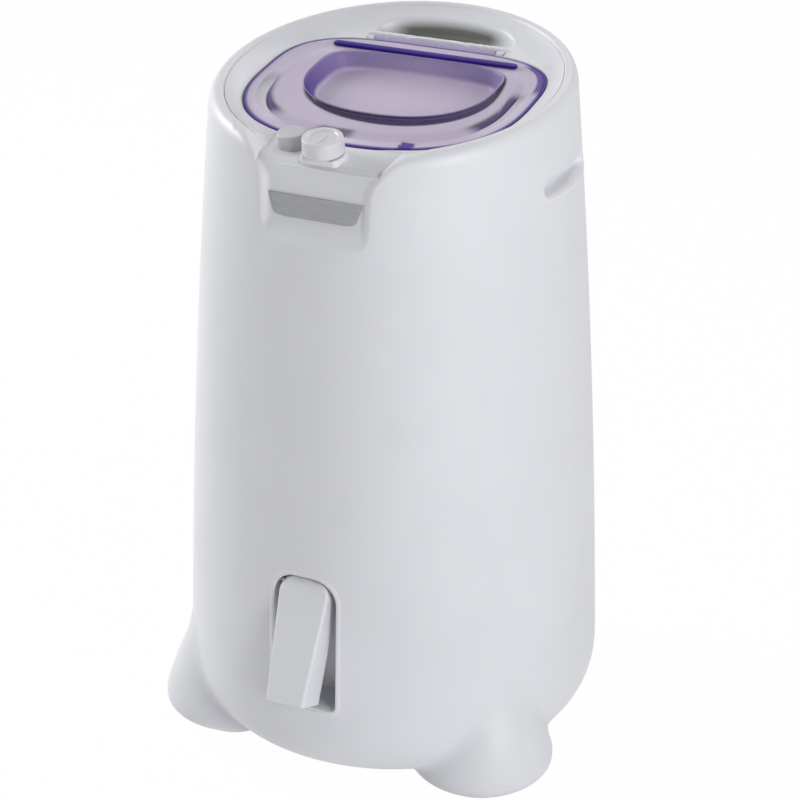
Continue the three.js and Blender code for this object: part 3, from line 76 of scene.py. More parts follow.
def addNode(tree, kind, inputs=None, **settings):
    # one node, with its settings; an input is a value or another node's output
    made = tree.nodes.new("ShaderNode" + kind)
    for name, value in settings.items():
        setattr(made, name, value)
    for name, value in (inputs or {}).items():
        if isinstance(value, bpy.types.NodeSocket):
            tree.links.new(value, made.inputs[name])
        else:
            made.inputs[name].default_value = value
    return made


def startMaterial(name):
    made = bpy.data.materials.new(name)
    made.use_nodes = True
    tree = made.node_tree
    tree.nodes.clear()
    return made, tree, addNode(tree, "TexCoord").outputs["Object"]


def endMaterial(made, tree, shader):
    tree.links.new(shader.outputs[0], addNode(tree, "OutputMaterial").inputs[0])
    return made


def plainShader(made, tree, **inputs):
    named = {name.replace("_", " "): value for name, value in inputs.items()}
    return endMaterial(made, tree, addNode(tree, "BsdfPrincipled", named))


def noise(tree, place, scale, detail=2.0, roughness=0.5):
    inputs = {"Vector": place, "Scale": scale, "Detail": detail, "Roughness": roughness}
    return addNode(tree, "TexNoise", inputs).outputs["Fac"]


def bump(tree, height, depthMm, strength=1.0):
    inputs = {"Height": height, "Strength": strength, "Distance": depthMm * mm}
    return addNode(tree, "Bump", inputs).outputs[0]


def meshMark(tree, name):
    return addNode(tree, "Attribute", attribute_name=name).outputs["Fac"]


def ramp(tree, amount, low, high, fromValue=0.0, toValue=1.0):
    # amount between two levels becomes a value between two others
    inputs = {"Value": amount, "From Min": low, "From Max": high, "To Min": fromValue, "To Max": toValue}
    return addNode(tree, "MapRange", inputs).outputs[0]


def mathNode(tree, operation, first, second):
    return addNode(tree, "Math", {0: first, 1: second}, operation=operation).outputs[0]


def blendColours(tree, share, first, second):
    # inputs 6 and 7 are the node's two colours
    return addNode(tree, "Mix", {"Factor": share, 6: first, 7: second}, data_type="RGBA").outputs[2]


def stretched(tree, place, scale):
    return addNode(tree, "Mapping", {"Vector": place, "Scale": scale}).outputs[0]


def drifting(tree, amount, shade, pale):
    # two tones of one colour, by a noise
    return blendColours(tree, ramp(tree, amount, 0.3, 0.7), linear(shade), linear(pale))


def mouldedPlastic(name, pale, shade, roughness, peelMm, peelDepthMm, ior=1.49, paintedRecessShade=None, gleam=0.5):
    # pale and shade are the two tones that the moulding drifts between over a hand's width;
    # peelMm is the width of the waves in the surface, peelDepthMm their height;
    # the last argument, when given, is a colour painted in where the mesh's attribute of the same name is
    # set: painted shade, as in the deck's finger recess
    made, tree, place = startMaterial(name)
    drift = noise(tree, place, 9.0)
    peel = noise(tree, place, 1000 / peelMm, 3.0, 0.55)
    colour = drifting(tree, drift, shade, pale)
    if paintedRecessShade:
        colour = blendColours(tree, meshMark(tree, "paintedRecessShade"), colour, linear(paintedRecessShade))
    gloss = ramp(tree, peel, 0.25, 0.75, roughness - 0.04, roughness + 0.05)
    return plainShader(made, tree, Base_Color=colour, Roughness=gloss, IOR=ior, Specular_IOR_Level=gleam,
                       Normal=bump(tree, peel, peelDepthMm))


def workedMetal(name, pale, shade, roughness, grainMm, stretch, depthMm):
    # stretch is how much longer the tool marks are along each axis than across
    made, tree, place = startMaterial(name)
    grain = noise(tree, stretched(tree, place, stretch), 1000 / grainMm, 4.0)
    patches = noise(tree, place, 22.0, 3.0)
    colour = drifting(tree, grain, shade, pale)
    gloss = ramp(tree, patches, 0.3, 0.7, roughness - 0.06, roughness + 0.08)
    return plainShader(made, tree, Base_Color=colour, Roughness=gloss, Metallic=1.0,
                       Normal=bump(tree, grain, depthMm))


def tintedClear(name, pale, deep, clearAlpha, deepAlpha, roughness):
    # tinted polycarbonate: clear in the flat plate and dark where light runs along a wall; the mesh's tint
    # attribute says
    # how deep the colour is: the plastic's own colour at its edge and in its solid parts, and painted shade
    # on the pocket's walls and rim and at one corner of the plate; its haze attribute says how clear the
    # plate is
    made, tree, place = startMaterial(name)
    tintAndShade, haze = meshMark(tree, "tintAndShade"), meshMark(tree, "haze")
    colour = blendColours(tree, tintAndShade, linear(pale), linear(deep))
    plate = mathNode(tree, "MULTIPLY", haze, clearAlpha)
    alpha = addNode(tree, "Mix", {"Factor": tintAndShade, "A": plate, "B": deepAlpha}).outputs[0]
    gloss = ramp(tree, tintAndShade, 0, 1, roughness, roughness + 0.22)
    flow = bump(tree, noise(tree, place, 14.0), 0.3, 0.4)
    return plainShader(made, tree, Base_Color=colour, Roughness=gloss, IOR=1.58, Specular_IOR_Level=0.06,
                       Alpha=alpha, Normal=flow)


def brushedFoil(name, pale, shade):
    # brushed sideways, its marks drawn 0.5 mm apart
    made, tree, place = startMaterial(name)
    brush = noise(tree, stretched(tree, place, (0.03, 1, 1)), 2000.0)
    colour = drifting(tree, brush, shade, pale)
    return plainShader(made, tree, Base_Color=colour, Roughness=0.42, Metallic=0.25,
                       Normal=bump(tree, brush, 0.02, 0.5))


# by slot: name, pale and shaded tone, roughness, width and height of the surface's waves in mm, and the rest
plastics = {
    # Polypropylene, injection moulded in a spark-eroded tool: satin, faintly wavy, cool white.
    # The real grain is 0.2 mm, too fine for the render, so it is drawn as waves of 3 mm.
    "white_case": ("polypropylene_satin_white", "dedfe3", "dadbdf", 0.42, 3.0, 0.03),
    # ABS from polished inserts, for the parts that fingers touch: a clearer gloss.
    "white_trim": ("abs_polished_white", "d8d8db", "d3d3d7", 0.36, 9.0, 0.004, 1.53),
    # Blow-moulded tub: duller and waxier than the case.
    "white_tub": ("polypropylene_natural_white", "e8e8ea", "dededf", 0.5, 8.0, 0.15),
    # Polycarbonate, dyed through and polished.
    "violet_deep": ("polycarbonate_deep_violet", "2c0a80", "250672", 0.34, 10.0, 0.004, 1.58, None, 0.12),
    # Glass-filled nylon: black, dry and slightly mottled.
    "black_plastic": ("nylon_black", "26272a", "1d1e20", 0.55, 1.2, 0.06, 1.53),
    # Vulcanised rubber, matt with a talc bloom.
    "black_rubber": ("rubber_black", "2b2b2d", "202022", 0.82, 2.0, 0.1, 1.52),
    "foot_rubber": ("rubber_grey", "4b4b4e", "404043", 0.85, 2.0, 0.12, 1.52),
    # Steel under black stoving paint, orange peel 2 mm wide.
    "painted_steel": ("steel_painted_black", "2f3338", "272b2f", 0.38, 2.0, 0.05, 1.5)}
# by slot: name, pale and shaded tone, roughness, width of the grain in mm, its stretch and its depth in mm
metals = {
    # Drawn stainless sheet, brushed round the drum.
    "stainless": ("stainless_brushed", "c9cbce", "b4b6ba", 0.3, 1.2, (1, 1, 30), 0.02),
    # Bright zinc plate on pressed steel.
    "zinc_steel": ("steel_zinc_plated", "b9bdc2", "a4a8ae", 0.36, 3.0, (1, 1, 1), 0.01),
    # Ground steel shaft: fine rings from the grinder.
    "shaft_steel": ("steel_ground", "aeb0b4", "93959a", 0.28, 1.0, (0.1, 0.1, 12), 0.01),
    # Die-cast aluminium: grey with a sandy skin.
    "cast_alloy": ("aluminium_die_cast", "a9abae", "8f9194", 0.52, 1.5, (1, 1, 1), 0.08),
    # Grey iron, sand cast and turned.
    "cast_iron": ("iron_cast", "6f7073", "55565a", 0.6, 1.2, (1, 1, 1), 0.12),
    # Deep-drawn aluminium can.
    "capacitor_can": ("aluminium_drawn", "c0c2c5", "aeb0b4", 0.35, 2.0, (1, 1, 20), 0.01)}
finishes = {slot: mouldedPlastic(*row) for slot, row in plastics.items()}
finishes.update({slot: workedMetal(*row) for slot, row in metals.items()})
# Anodised aluminium foil on the scoop, and polycarbonate, tinted violet and press polished.
finishes["grey_plate"] = brushedFoil("aluminium_anodised_label", "a9aaad", "9a9b9e")
finishes["violet_clear"] = tintedClear("polycarbonate_violet_clear", "e5daef", "3f128a", 0.75, 0.98, 0.16)
# The deck is the case's plastic, with painted shade in grey-olive in its finger recess, darkest where the
# recess is deep.
deckWhite = mouldedPlastic("polypropylene_satin_white_recess_shade", "dedfe3", "dadbdf", 0.42, 3.0, 0.03,
                           paintedRecessShade="6a6c66")
# Painted shade: the button cap is made grey, darker than the knob's white, for the shade it stands in beside
# the knob.
buttonShadedGrey = mouldedPlastic("abs_satin_grey_painted_shade", "c8c7cb", "c1c0c5", 0.38, 9.0, 0.004, ior=1.53)

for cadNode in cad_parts.values():
    for materialSlot in cadNode.material_slots:
        materialSlot.material = finishes[materialSlot.material.name.split(".")[0]]
print("finishes made")


def gridFaces(rows, columns, closed, start=0):
    # four corners of each cell; closed joins the last column to the first
    index = np.arange(rows * columns).reshape(rows, columns) + start
    right = np.roll(index, -1, axis=1) if closed else index[:, 1:]
    left = index if closed else index[:, :-1]
    return np.stack([left[:-1], right[:-1], right[1:], left[1:]], axis=-1).reshape(-1, 4)


def smoothShade(mesh, sharp):
    mesh.polygons.foreach_set("use_smooth", np.ones(len(mesh.polygons), dtype=bool))
    mesh.set_sharp_from_angle(angle=math.radians(sharp))
    return mesh


def buildMesh(name, patches, sharp=35, marks=None):
    # patches are (points in mm as rows x columns x 3, closed); corners that meet are merged
    points, faces, count = [], [], 0
    for grid, closed in patches:
        rows, columns = grid.shape[:2]
        points.append(grid.reshape(-1, 3))
        faces.append(gridFaces(rows, columns, closed, count))
        count += rows * columns
    points = np.concatenate(points) * mm
    mesh = bpy.data.meshes.new(name)
    mesh.from_pydata(points.tolist(), [], np.concatenate(faces).tolist())
    for attribute, values in (marks or {}).items():
        layer = mesh.attributes.new(attribute, "FLOAT", "POINT")
        layer.data.foreach_set("value", np.concatenate([v.reshape(-1) for v in values]).astype(np.float32))
    work = bmesh.new()
    work.from_mesh(mesh)
    bmesh.ops.remove_doubles(work, verts=work.verts, dist=0.004 * mm)
    bmesh.ops.dissolve_degenerate(work, dist=0.003 * mm, edges=work.edges)
    bmesh.ops.recalc_face_normals(work, faces=work.faces)
    work.to_mesh(mesh)
    work.free()
    return smoothShade(mesh, sharp)


def addPiece(name, mesh, body, slot, replaced, material=None):
    piece = addObject(name, mesh)
    mesh.materials.append(material or finishes[slot])
    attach(piece, body)
    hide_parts(replaced)
    return piece


def cutMesh(mesh, cutter):
    # exact boolean, applied
    base, tool = addObject("cutting", mesh), addObject("cutter", cutter)
    step = base.modifiers.new("cut", "BOOLEAN")
    step.object = tool
    step.operation = "DIFFERENCE"
    step.solver = "EXACT"
    graph = bpy.context.evaluated_depsgraph_get()
    result = bpy.data.meshes.new_from_object(base.evaluated_get(graph), preserve_all_data_layers=True,
                                             depsgraph=graph)
    for used in (base, tool):
        bpy.data.objects.remove(used)
    result.materials.clear()
    return smoothShade(result, 35)


def joinMeshes(name, meshes):
    work = bmesh.new()
    for mesh in meshes:
        work.from_mesh(mesh)
    joined = bpy.data.meshes.new(name)
    work.to_mesh(joined)
    work.free()
    return smoothShade(joined, 40)


def fullTurn(steps):
    return np.linspace(0, 2 * np.pi, steps, endpoint=False)


def atLevel(outline, level):
    # (x, y) points with one height added
    return np.hstack([outline, np.full((len(outline), 1), float(level))])


def surface(x, y, z):
    return np.stack(np.broadcast_arrays(x, y, z), axis=-1)


def axes(grid):
    return grid[..., 0], grid[..., 1], grid[..., 2]


def columns(rows):
    # a table's columns, each to be spread along the rows of a surface
    return np.array(rows, float).T[..., None]


def lathe(profile, steps, centre=(0, 0)):
    # profile of (radius, height) turned about a vertical axis through centre
    (radius, height), angle = columns(profile), fullTurn(steps)
    return surface(centre[0] + radius * np.cos(angle), centre[1] + radius * np.sin(angle), height)


def arc(centre, runR, runZ, fromDegrees, toDegrees, steps):
    angle = np.radians(np.linspace(fromDegrees, toDegrees, steps))
    return np.stack([centre[0] + runR * np.cos(angle), centre[1] + runZ * np.sin(angle)], axis=1)


def rounded(corners, radius, steps=6):
    # (x, y) corners with each inner one replaced by an arc; radius may be one per corner
    corners = np.asarray(corners, float)
    radii = np.broadcast_to(radius, len(corners))
    line = [corners[0]]
    for i in range(1, len(corners) - 1):
        here = corners[i]
        sides = [corners[i - 1] - here, corners[i + 1] - here]
        lengths = [np.linalg.norm(side) for side in sides]
        toBefore, toAfter = [side / length for side, length in zip(sides, lengths)]
        half = math.acos(np.clip(toBefore @ toAfter, -1, 1)) / 2
        run = min(radii[i] / math.tan(half), min(lengths) * 0.49)
        share = np.linspace(0, 1, steps)[:, None]
        first, last = here + toBefore * run, here + toAfter * run
        line.extend((1 - share) ** 2 * first + 2 * share * (1 - share) * here + share ** 2 * last)
    line.append(corners[-1])
    return np.array(line)


def evenly(line, count):
    # a line of (x, y) points walked in equal steps
    along = np.r_[0, np.cumsum(np.linalg.norm(np.diff(line, axis=0), axis=1))]
    fine = np.linspace(0, along[-1], count)
    return np.stack([np.interp(fine, along, line[:, 0]), np.interp(fine, along, line[:, 1])], axis=1)


def outwardNormals(grid, row, middle=0.0):
    # row is one that faces away from x = middle all round
    around = np.roll(grid, -1, axis=1) - np.roll(grid, 1, axis=1)
    normal = np.cross(around, np.gradient(grid, axis=0))
    normal = normal / np.maximum(np.linalg.norm(normal, axis=-1, keepdims=True), 1e-6)
    return -normal if (normal[row, :, 0] * (grid[row, :, 0] - middle)).sum() < 0 else normal


def smoothstep(value, low, high):
    share = np.clip((value - low) / (high - low), 0, 1)
    return share * share * (3 - 2 * share)


def softMax(a, b, width):
    # the larger of two surfaces, with a fillet of about that width where they cross
    share = np.clip(0.5 + 0.5 * (a - b) / width, 0, 1)
    return b + (a - b) * share + width * share * (1 - share)


def softMin(a, b, width):
    return -softMax(-a, -b, width)


# the top's own axes: x, v towards the back, n up from the lid's seat
lean = math.radians(8.5)
leanCos, leanSin, topLevel = math.cos(lean), math.sin(lean), 661.6


def fromTop(grid):
    # (x, v, n) to (x, y, z)
    x, v, n = axes(grid)
    return surface(x, v * leanCos - n * leanSin, topLevel + v * leanSin + n * leanCos)


def toTop(grid):
    x, y, z = axes(grid)
    return surface(x, y * leanCos + (z - topLevel) * leanSin, -y * leanSin + (z - topLevel) * leanCos)


cabinet = {"taperFoot": 75, "taperHead": 727, "footRadius": 205, "headRadius": 162.8, "bulge": 5.48,
           "floor": 33, "opening": 150, "filletRun": 41, "filletRise": 62, "rimLevel": 676, "rimRadius": 160,
           "shoulder": 16, "roll": 5.4, "seam": 155, "shelfTop": 663.5, "shelfInner": 147, "wall": 3,
           "cantStart": 450, "cantEnd": 640, "scoopStart": 556, "sideRow": 40}
scoop = {"foot": 568, "halfWidth": 50, "flare": 35, "flareFoot": 615, "flareHead": 652, "face": 157,
         "head": 640, "lean": 0.13, "runOut": 20, "runOutDepth": 11, "edge": 7.0, "ledgeHalf": 61,
         "ledge": -3.3, "flareEnd": 88, "flareRun": 28, "crest": 14.2, "sideFillet": 6.0, "sideSlope": 2.2,
         "rimFillet": 5.0}
grip = {"level": 604, "length": 95, "height": 17, "depth": 12, "lip": 1.4, "lipAway": 2.2, "lipWidth": 1.8}


def cabinetRadius(z):
    share = (z - cabinet["taperFoot"]) / (cabinet["taperHead"] - cabinet["taperFoot"])
    straight = cabinet["footRadius"] + (cabinet["headRadius"] - cabinet["footRadius"]) * share
    return straight + cabinet["bulge"] * 4 * share * (1 - share)


def scoopHalfWidth(z):
    share = np.clip((z - scoop["flareFoot"]) / (scoop["flareHead"] - scoop["flareFoot"]), 0, 1)
    return scoop["halfWidth"] + scoop["flare"] * share ** 2


def scoopFace(z):
    share = np.clip((scoop["foot"] + scoop["runOut"] - z) / scoop["runOut"], 0, 1)
    return -scoop["face"] - scoop["lean"] * (scoop["head"] - z) - scoop["runOutDepth"] * share ** 2


def cantTop(grid):
    # raises the back of the top and lowers its front, and keeps the side on the taper
    x, y, z = axes(grid)
    rise = math.tan(lean) * y * smoothstep(z, cabinet["cantStart"], cabinet["cantEnd"])
    radius = np.hypot(x, y)
    rimInner = cabinet["rimRadius"] - cabinet["roll"]
    outer = np.clip((radius - rimInner) / cabinet["roll"] / 1.5, 0, 1)
    scale = 1 + (cabinetRadius(z + rise) - cabinetRadius(z)) * outer / radius
    return surface(x * scale, y * scale, z + rise)


def cabinetProfile():
    c = cabinet
    filletTop = c["floor"] + c["filletRise"]
    shoulderFoot = c["rimLevel"] - c["shoulder"]
    bottomRadius = cabinetRadius(filletTop) - c["filletRun"]
    bottom = arc((bottomRadius, filletTop), c["filletRun"], c["filletRise"], -90, 0, 27)
    # the side's levels are close together at the feet and from the scoop up
    side = np.concatenate([np.arange(filletTop + 4, 150, 4.0), np.arange(152, c["scoopStart"], 14.0),
                           np.arange(c["scoopStart"], shoulderFoot, 1.1)])
    side = np.stack([cabinetRadius(side), side], axis=1)
    run = cabinetRadius(shoulderFoot) - c["rimRadius"]
    shoulder = arc((c["rimRadius"], shoulderFoot), run, c["shoulder"], 0, 90, 26)
    roll = arc((c["rimRadius"], c["rimLevel"] - c["roll"]), c["roll"], c["roll"], 90, 152, 9)[1:]
    inside = [[c["seam"], 672.7], [c["seam"], 667], [c["seam"], c["shelfTop"]], [151, c["shelfTop"]],
              [c["shelfInner"], c["shelfTop"]]]
    base = [[c["opening"], c["floor"]], [c["opening"] + 5, c["floor"]]]
    return np.vstack([base, bottom, side, shoulder, roll, inside])


def cabinetAngles():
    # measured from the front; close together over the scoop, the two grips and the rear foot
    spans = ((-37, 37, 0.5), (37, 71, 1.0), (71, 109, 0.8), (109, 154, 3.0), (154, 206, 1.3), (206, 251, 3.0),
             (251, 289, 0.8), (289, 323, 1.0))
    return np.radians(np.concatenate([np.arange(*span) for span in spans]))


def hollowGrip(grid):
    # presses a capsule into each side: its depth grows over 5 mm inside the outline
    x, y, z = axes(grid)
    radius = grip["height"] / 2
    along = np.maximum(np.abs(y) - (grip["length"] / 2 - radius), 0)
    distance = np.hypot(along, z - grip["level"]) - radius
    floor = cabinetRadius(grip["level"]) - grip["depth"]
    inside = smoothstep(-distance, -0.5, 4.5)
    bead = grip["lip"] * np.exp(-((distance - grip["lipAway"]) / grip["lipWidth"]) ** 2)
    bead = bead * smoothstep(-z, -grip["level"] - 4, -grip["level"] + 4)
    pressed = np.abs(x) + (np.minimum(np.abs(x), floor) - np.abs(x)) * inside + bead
    grid[..., 0] = np.where(np.abs(x) > 120, np.sign(x) * pressed, x)
    return grid


def flareLevel(x):
    # height of the rim over the scoop: a step at the ledge's ends, then out to the crest by a quarter turn
    away = np.clip((scoop["flareEnd"] - np.abs(x)) / scoop["flareRun"], 0, 1)
    beyond = smoothstep(np.abs(x), scoop["flareEnd"], scoop["flareEnd"] + 14)
    return scoop["crest"] * (1 - away ** 2) - 0.2 + 12 * beyond


def cutLedge(grid):
    # lowers the rim over the ledge
    top = toTop(grid)
    ends = np.where(np.abs(top[..., 0]) < scoop["ledgeHalf"] - 0.6, scoop["ledge"], flareLevel(top[..., 0]))
    lowered = softMin(top[..., 2], ends, scoop["rimFillet"])
    front = smoothstep(-top[..., 1], 96, 112)
    top[..., 2] = top[..., 2] + (np.minimum(lowered, top[..., 2]) - top[..., 2]) * front
    return np.where((grid[..., 1:2] < -90) & (grid[..., 2:3] > 600), fromTop(top), grid)


def cutScoop(grid):
    # moves the front in to the scoop face; outside its half width the face falls away steeply
    x, y, z = axes(grid)
    outside = softMax(np.abs(x) - scoopHalfWidth(z), 0 * x, scoop["sideFillet"])
    inner = softMax(y, scoopFace(z) - scoop["sideSlope"] * outside, scoop["edge"])
    front = (y < -90) & (z > scoop["foot"] - 14)
    fade = smoothstep(z, scoop["foot"] - 14, scoop["foot"] + 8)
    grid[..., 1] = np.where(front, y + (np.maximum(inner, y) - y) * fade, y)
    return grid


# centre of each foot, its turned outline as (radius, height), and how far its fillet reaches
feet = {"front_left": (-135.13, -91.15), "front_right": (135.13, -91.15), "rear": (0.0, 163.0)}
footShape = {"fillet": 8, "pad": 33, "padHole": 11, "padThickness": 7, "padPocket": 7.3, "well": 8.3,
             "wellTop": 22, "blendTop": 175, "blendReach": 105, "sideRow": 30,
             "profile": [[40, 4.5], [47.5, 10], [54.5, 15], [61.5, 20], [66.5, 24], [69.6, 28], [70.8, 32.5],
                         [70.4, 38], [68.6, 45], [65.8, 54], [62.3, 64], [57.8, 76], [52, 90], [45.8, 105],
                         [40, 119.5]]}


def footProfile():
    profile = evenly(np.array(footShape["profile"], float), 64)
    for _ in range(6):
        profile[1:-1] = (profile[:-2] + 2 * profile[1:-1] + profile[2:]) / 4
    return profile


def distanceTo(profile, radius, level):
    # from a turned outline, negative inside it
    line = evenly(profile, 420)
    away = np.hypot(radius[..., None] - line[:, 0], level[..., None] - line[:, 1]).min(axis=-1)
    order = np.argsort(line[:, 1], kind="stable")
    within = (level > line[:, 1].min()) & (level < line[:, 1].max())
    return np.where(within & (radius < np.interp(level, line[order, 1], line[order, 0])), -away, away)


def lowCabinet(inset=0.0):
    # the cabinet's outline below 300 mm: out along its floor from the axis, and up its side
    profile = cabinetProfile()[2:]
    profile = profile[profile[:, 1] < 300]
    return np.concatenate([[[0, cabinet["floor"]]], profile, [[profile[-1, 0], 330]]]) - [inset, 0]


def filleted(grid, normal, centre, onFoot, limit):
    # moves points along their normals to the soft union of cabinet and foot; each piece
    # dips a little under the other one's share of the fillet
    reach = footShape["fillet"]
    moved = np.zeros(grid.shape[:2])
    footLine, cabinetLine = footProfile(), lowCabinet()
    for _ in range(14):
        at = grid + normal * moved[..., None]
        toFoot = distanceTo(footLine, np.hypot(at[..., 0] - centre[0], at[..., 1] - centre[1]), at[..., 2])
        toCabinet = distanceTo(cabinetLine, np.hypot(at[..., 0], at[..., 1]), at[..., 2])
        overlap = np.clip(reach - np.abs(toFoot - toCabinet), 0, reach)
        union = np.minimum(toFoot, toCabinet) - overlap ** 2 / (4 * reach)
        own, other = (toFoot, toCabinet) if onFoot else (toCabinet, toFoot)
        dip = 0.3 * smoothstep(own - other, 0, 4)
        moved = np.clip(moved - 0.8 * (union + dip), 0, limit)
    return grid + normal * moved[..., None]


def underLedge(grid):
    # keeps the inner skin below the ledge and the flares, where the rim is thin
    top = toTop(grid)
    away = np.abs(top[..., 0])
    limit = np.where(away < scoop["ledgeHalf"] + 2, scoop["ledge"], flareLevel(away - 2)) - 2.4
    low = (top[..., 1] < -100) & (away < scoop["flareEnd"] + 8)
    top[..., 2] = np.where(low, np.minimum(top[..., 2], limit), top[..., 2])
    return fromTop(top)


def makeCabinet():
    c, profile, angle = cabinet, cabinetProfile(), cabinetAngles()
    radius, height = columns(profile)
    grid = surface(radius * np.sin(angle), -radius * np.cos(angle), height)
    outer = cutScoop(cutLedge(hollowGrip(cantTop(grid))))
    normal = outwardNormals(outer, c["sideRow"])
    low = int((profile[:-20, 1] < footShape["blendTop"]).sum())
    normal[0] = normal[1] = (0, 0, -1)
    for centre in feet.values():
        near = np.hypot(outer[20, :, 0] - centre[0], outer[20, :, 1] - centre[1]) < footShape["blendReach"]
        outer[2:low, near] = filleted(outer[2:low, near], normal[2:low, near], centre, False, 7.0)
    # the inner skin has every fifth row, and the last one
    rows = np.r_[0:len(profile) - 1:5, len(profile) - 1]
    inner = underLedge((outer - c["wall"] * outwardNormals(outer, c["sideRow"]))[rows[::-1]])
    return buildMesh("cabinetSkin", [(np.vstack([outer, inner, outer[:1]]), True)], sharp=50)


# the spout's slot seen from the front: straight sides, big corners above, small ones below
spoutSlot = {"half": 32, "foot": 113, "head": 250, "corner": 24, "footCorner": 6, "cut": 2.8}


def archOutline(grow):
    half, head, corner, low = [spoutSlot[key] + grow for key in ("half", "head", "corner", "footCorner")]
    foot = spoutSlot["foot"] - grow
    corners = ((half - low, foot + low, low), (half - corner, head - corner, corner),
               (corner - half, head - corner, corner), (low - half, foot + low, low))
    return np.concatenate([arc((x, z), radius, radius, 90 * i - 90, 90 * i, 10)
                           for i, (x, z, radius) in enumerate(corners)])


def prism(outline, back, front):
    # closed block of an (x, z) outline, from y = back to y = front
    share, y = columns(((0, back), (1, back), (1, front), (0, front)))
    (x, z), (middleX, middleZ) = outline.T, outline.mean(axis=0)
    return surface(middleX + (x - middleX) * share, y, middleZ + (z - middleZ) * share)


slotPrism = prism(archOutline(spoutSlot["cut"]), -150, -260)
cabinetMesh = cutMesh(makeCabinet(), buildMesh("slotCutter", [(slotPrism, True)]))
addPiece("cabinet_skin", cabinetMesh, "cabinet", "white_case", "cabinet_shell")
print("cabinet", len(cabinetMesh.polygons))

lid = {"half": 135, "centre": -3, "front": 116.5, "back": 94, "frontPower": 2.45, "backPower": 3.6, "top": 1,
       "thickness": 3, "edge": 1.2, "collarOuter": -22, "collarInner": -24.5, "collarTop": -2.15,
       "collarFoot": -14}
pocket = {"half": 90, "centre": 20, "front": 74, "back": 46, "frontPower": 2.3, "backPower": 4, "depth": 14,
          "draft": 6, "wall": 2.5, "fall": 0.36, "fallStart": -54, "fallRun": 120, "fillet": 3.5, "roll": 1.6}
deck = {"seat": -2.4, "flat": 1.2, "lip": 11.4, "dish": 137, "edge": 154.75, "thickness": 3, "gap": 1,
        "mouth": -20, "skirt": -17, "trayHalf": 70, "trayBack": 98.5, "trayFoot": -5.5, "lipHalf": 74,
        "lipBack": 103.5, "lipTop": 3.4}
recess = {"front": 108, "back": 147, "half": 72, "depth": 14, "slope": 7, "shadeMiddle": -4,
          "shadeHalf": 64, "shadeFull": 38}
ledge = {"half": 62.6, "radius": 168.5, "front": -157.7, "thickness": 3.2, "fillet": 8.0}
pedestal = {"v": -145.5, "radius": 21, "height": 5}
seam = {"from": 58, "to": 80, "inner": 152, "outer": 158, "foot": -3.0, "below": 1.9}
hinge = {"v": 93.5, "n": -0.5, "radius": 4, "half": 62, "end": 0.6, "earRadius": 3.5, "earFrom": 63,
         "earTo": 69}


def outlineReach(spec, grow, angle):
    # distance from the outline's centre to its edge: (|cos| / a)^p + (|sin| / b)^p = 1 / reach^p
    ahead = np.sin(angle) < 0
    power = np.where(ahead, spec["frontPower"], spec["backPower"])
    depth = np.where(ahead, spec["front"], spec["back"]) + grow
    across = (np.abs(np.cos(angle)) / (spec["half"] + grow)) ** power
    return (across + (np.abs(np.sin(angle)) / depth) ** power) ** (-1 / power)


def outlinePoints(spec, grow, angle, share=1.0):
    reach = outlineReach(spec, grow, angle) * share
    return np.stack([reach * np.cos(angle), spec["centre"] + reach * np.sin(angle)], axis=-1)


def circleReach(radius, angle, level=0.0):
    # from the lid's centre to a circle round the cabinet's axis, an ellipse in canted coordinates
    squeeze = leanCos ** 2
    offset = lid["centre"] - level * math.tan(lean)
    a = np.cos(angle) ** 2 + squeeze * np.sin(angle) ** 2
    b = 2 * offset * np.sin(angle) * squeeze
    c = offset ** 2 * squeeze - radius ** 2
    return (-b + np.sqrt(b * b - 4 * a * c)) / (2 * a)


def recessDepthAt(x, v):
    # half moon: as deep inside as its distance to the edge allows, up to the full depth
    r = recess
    edge = r["front"] + (r["back"] - r["front"]) * np.clip(1 - (x / r["half"]) ** 2, 0, 1) ** 0.4
    inward = np.minimum(np.minimum(v - r["front"], edge - v), (r["half"] - np.abs(x)) * 0.9)
    return r["depth"] * smoothstep(inward, 0, r["slope"])


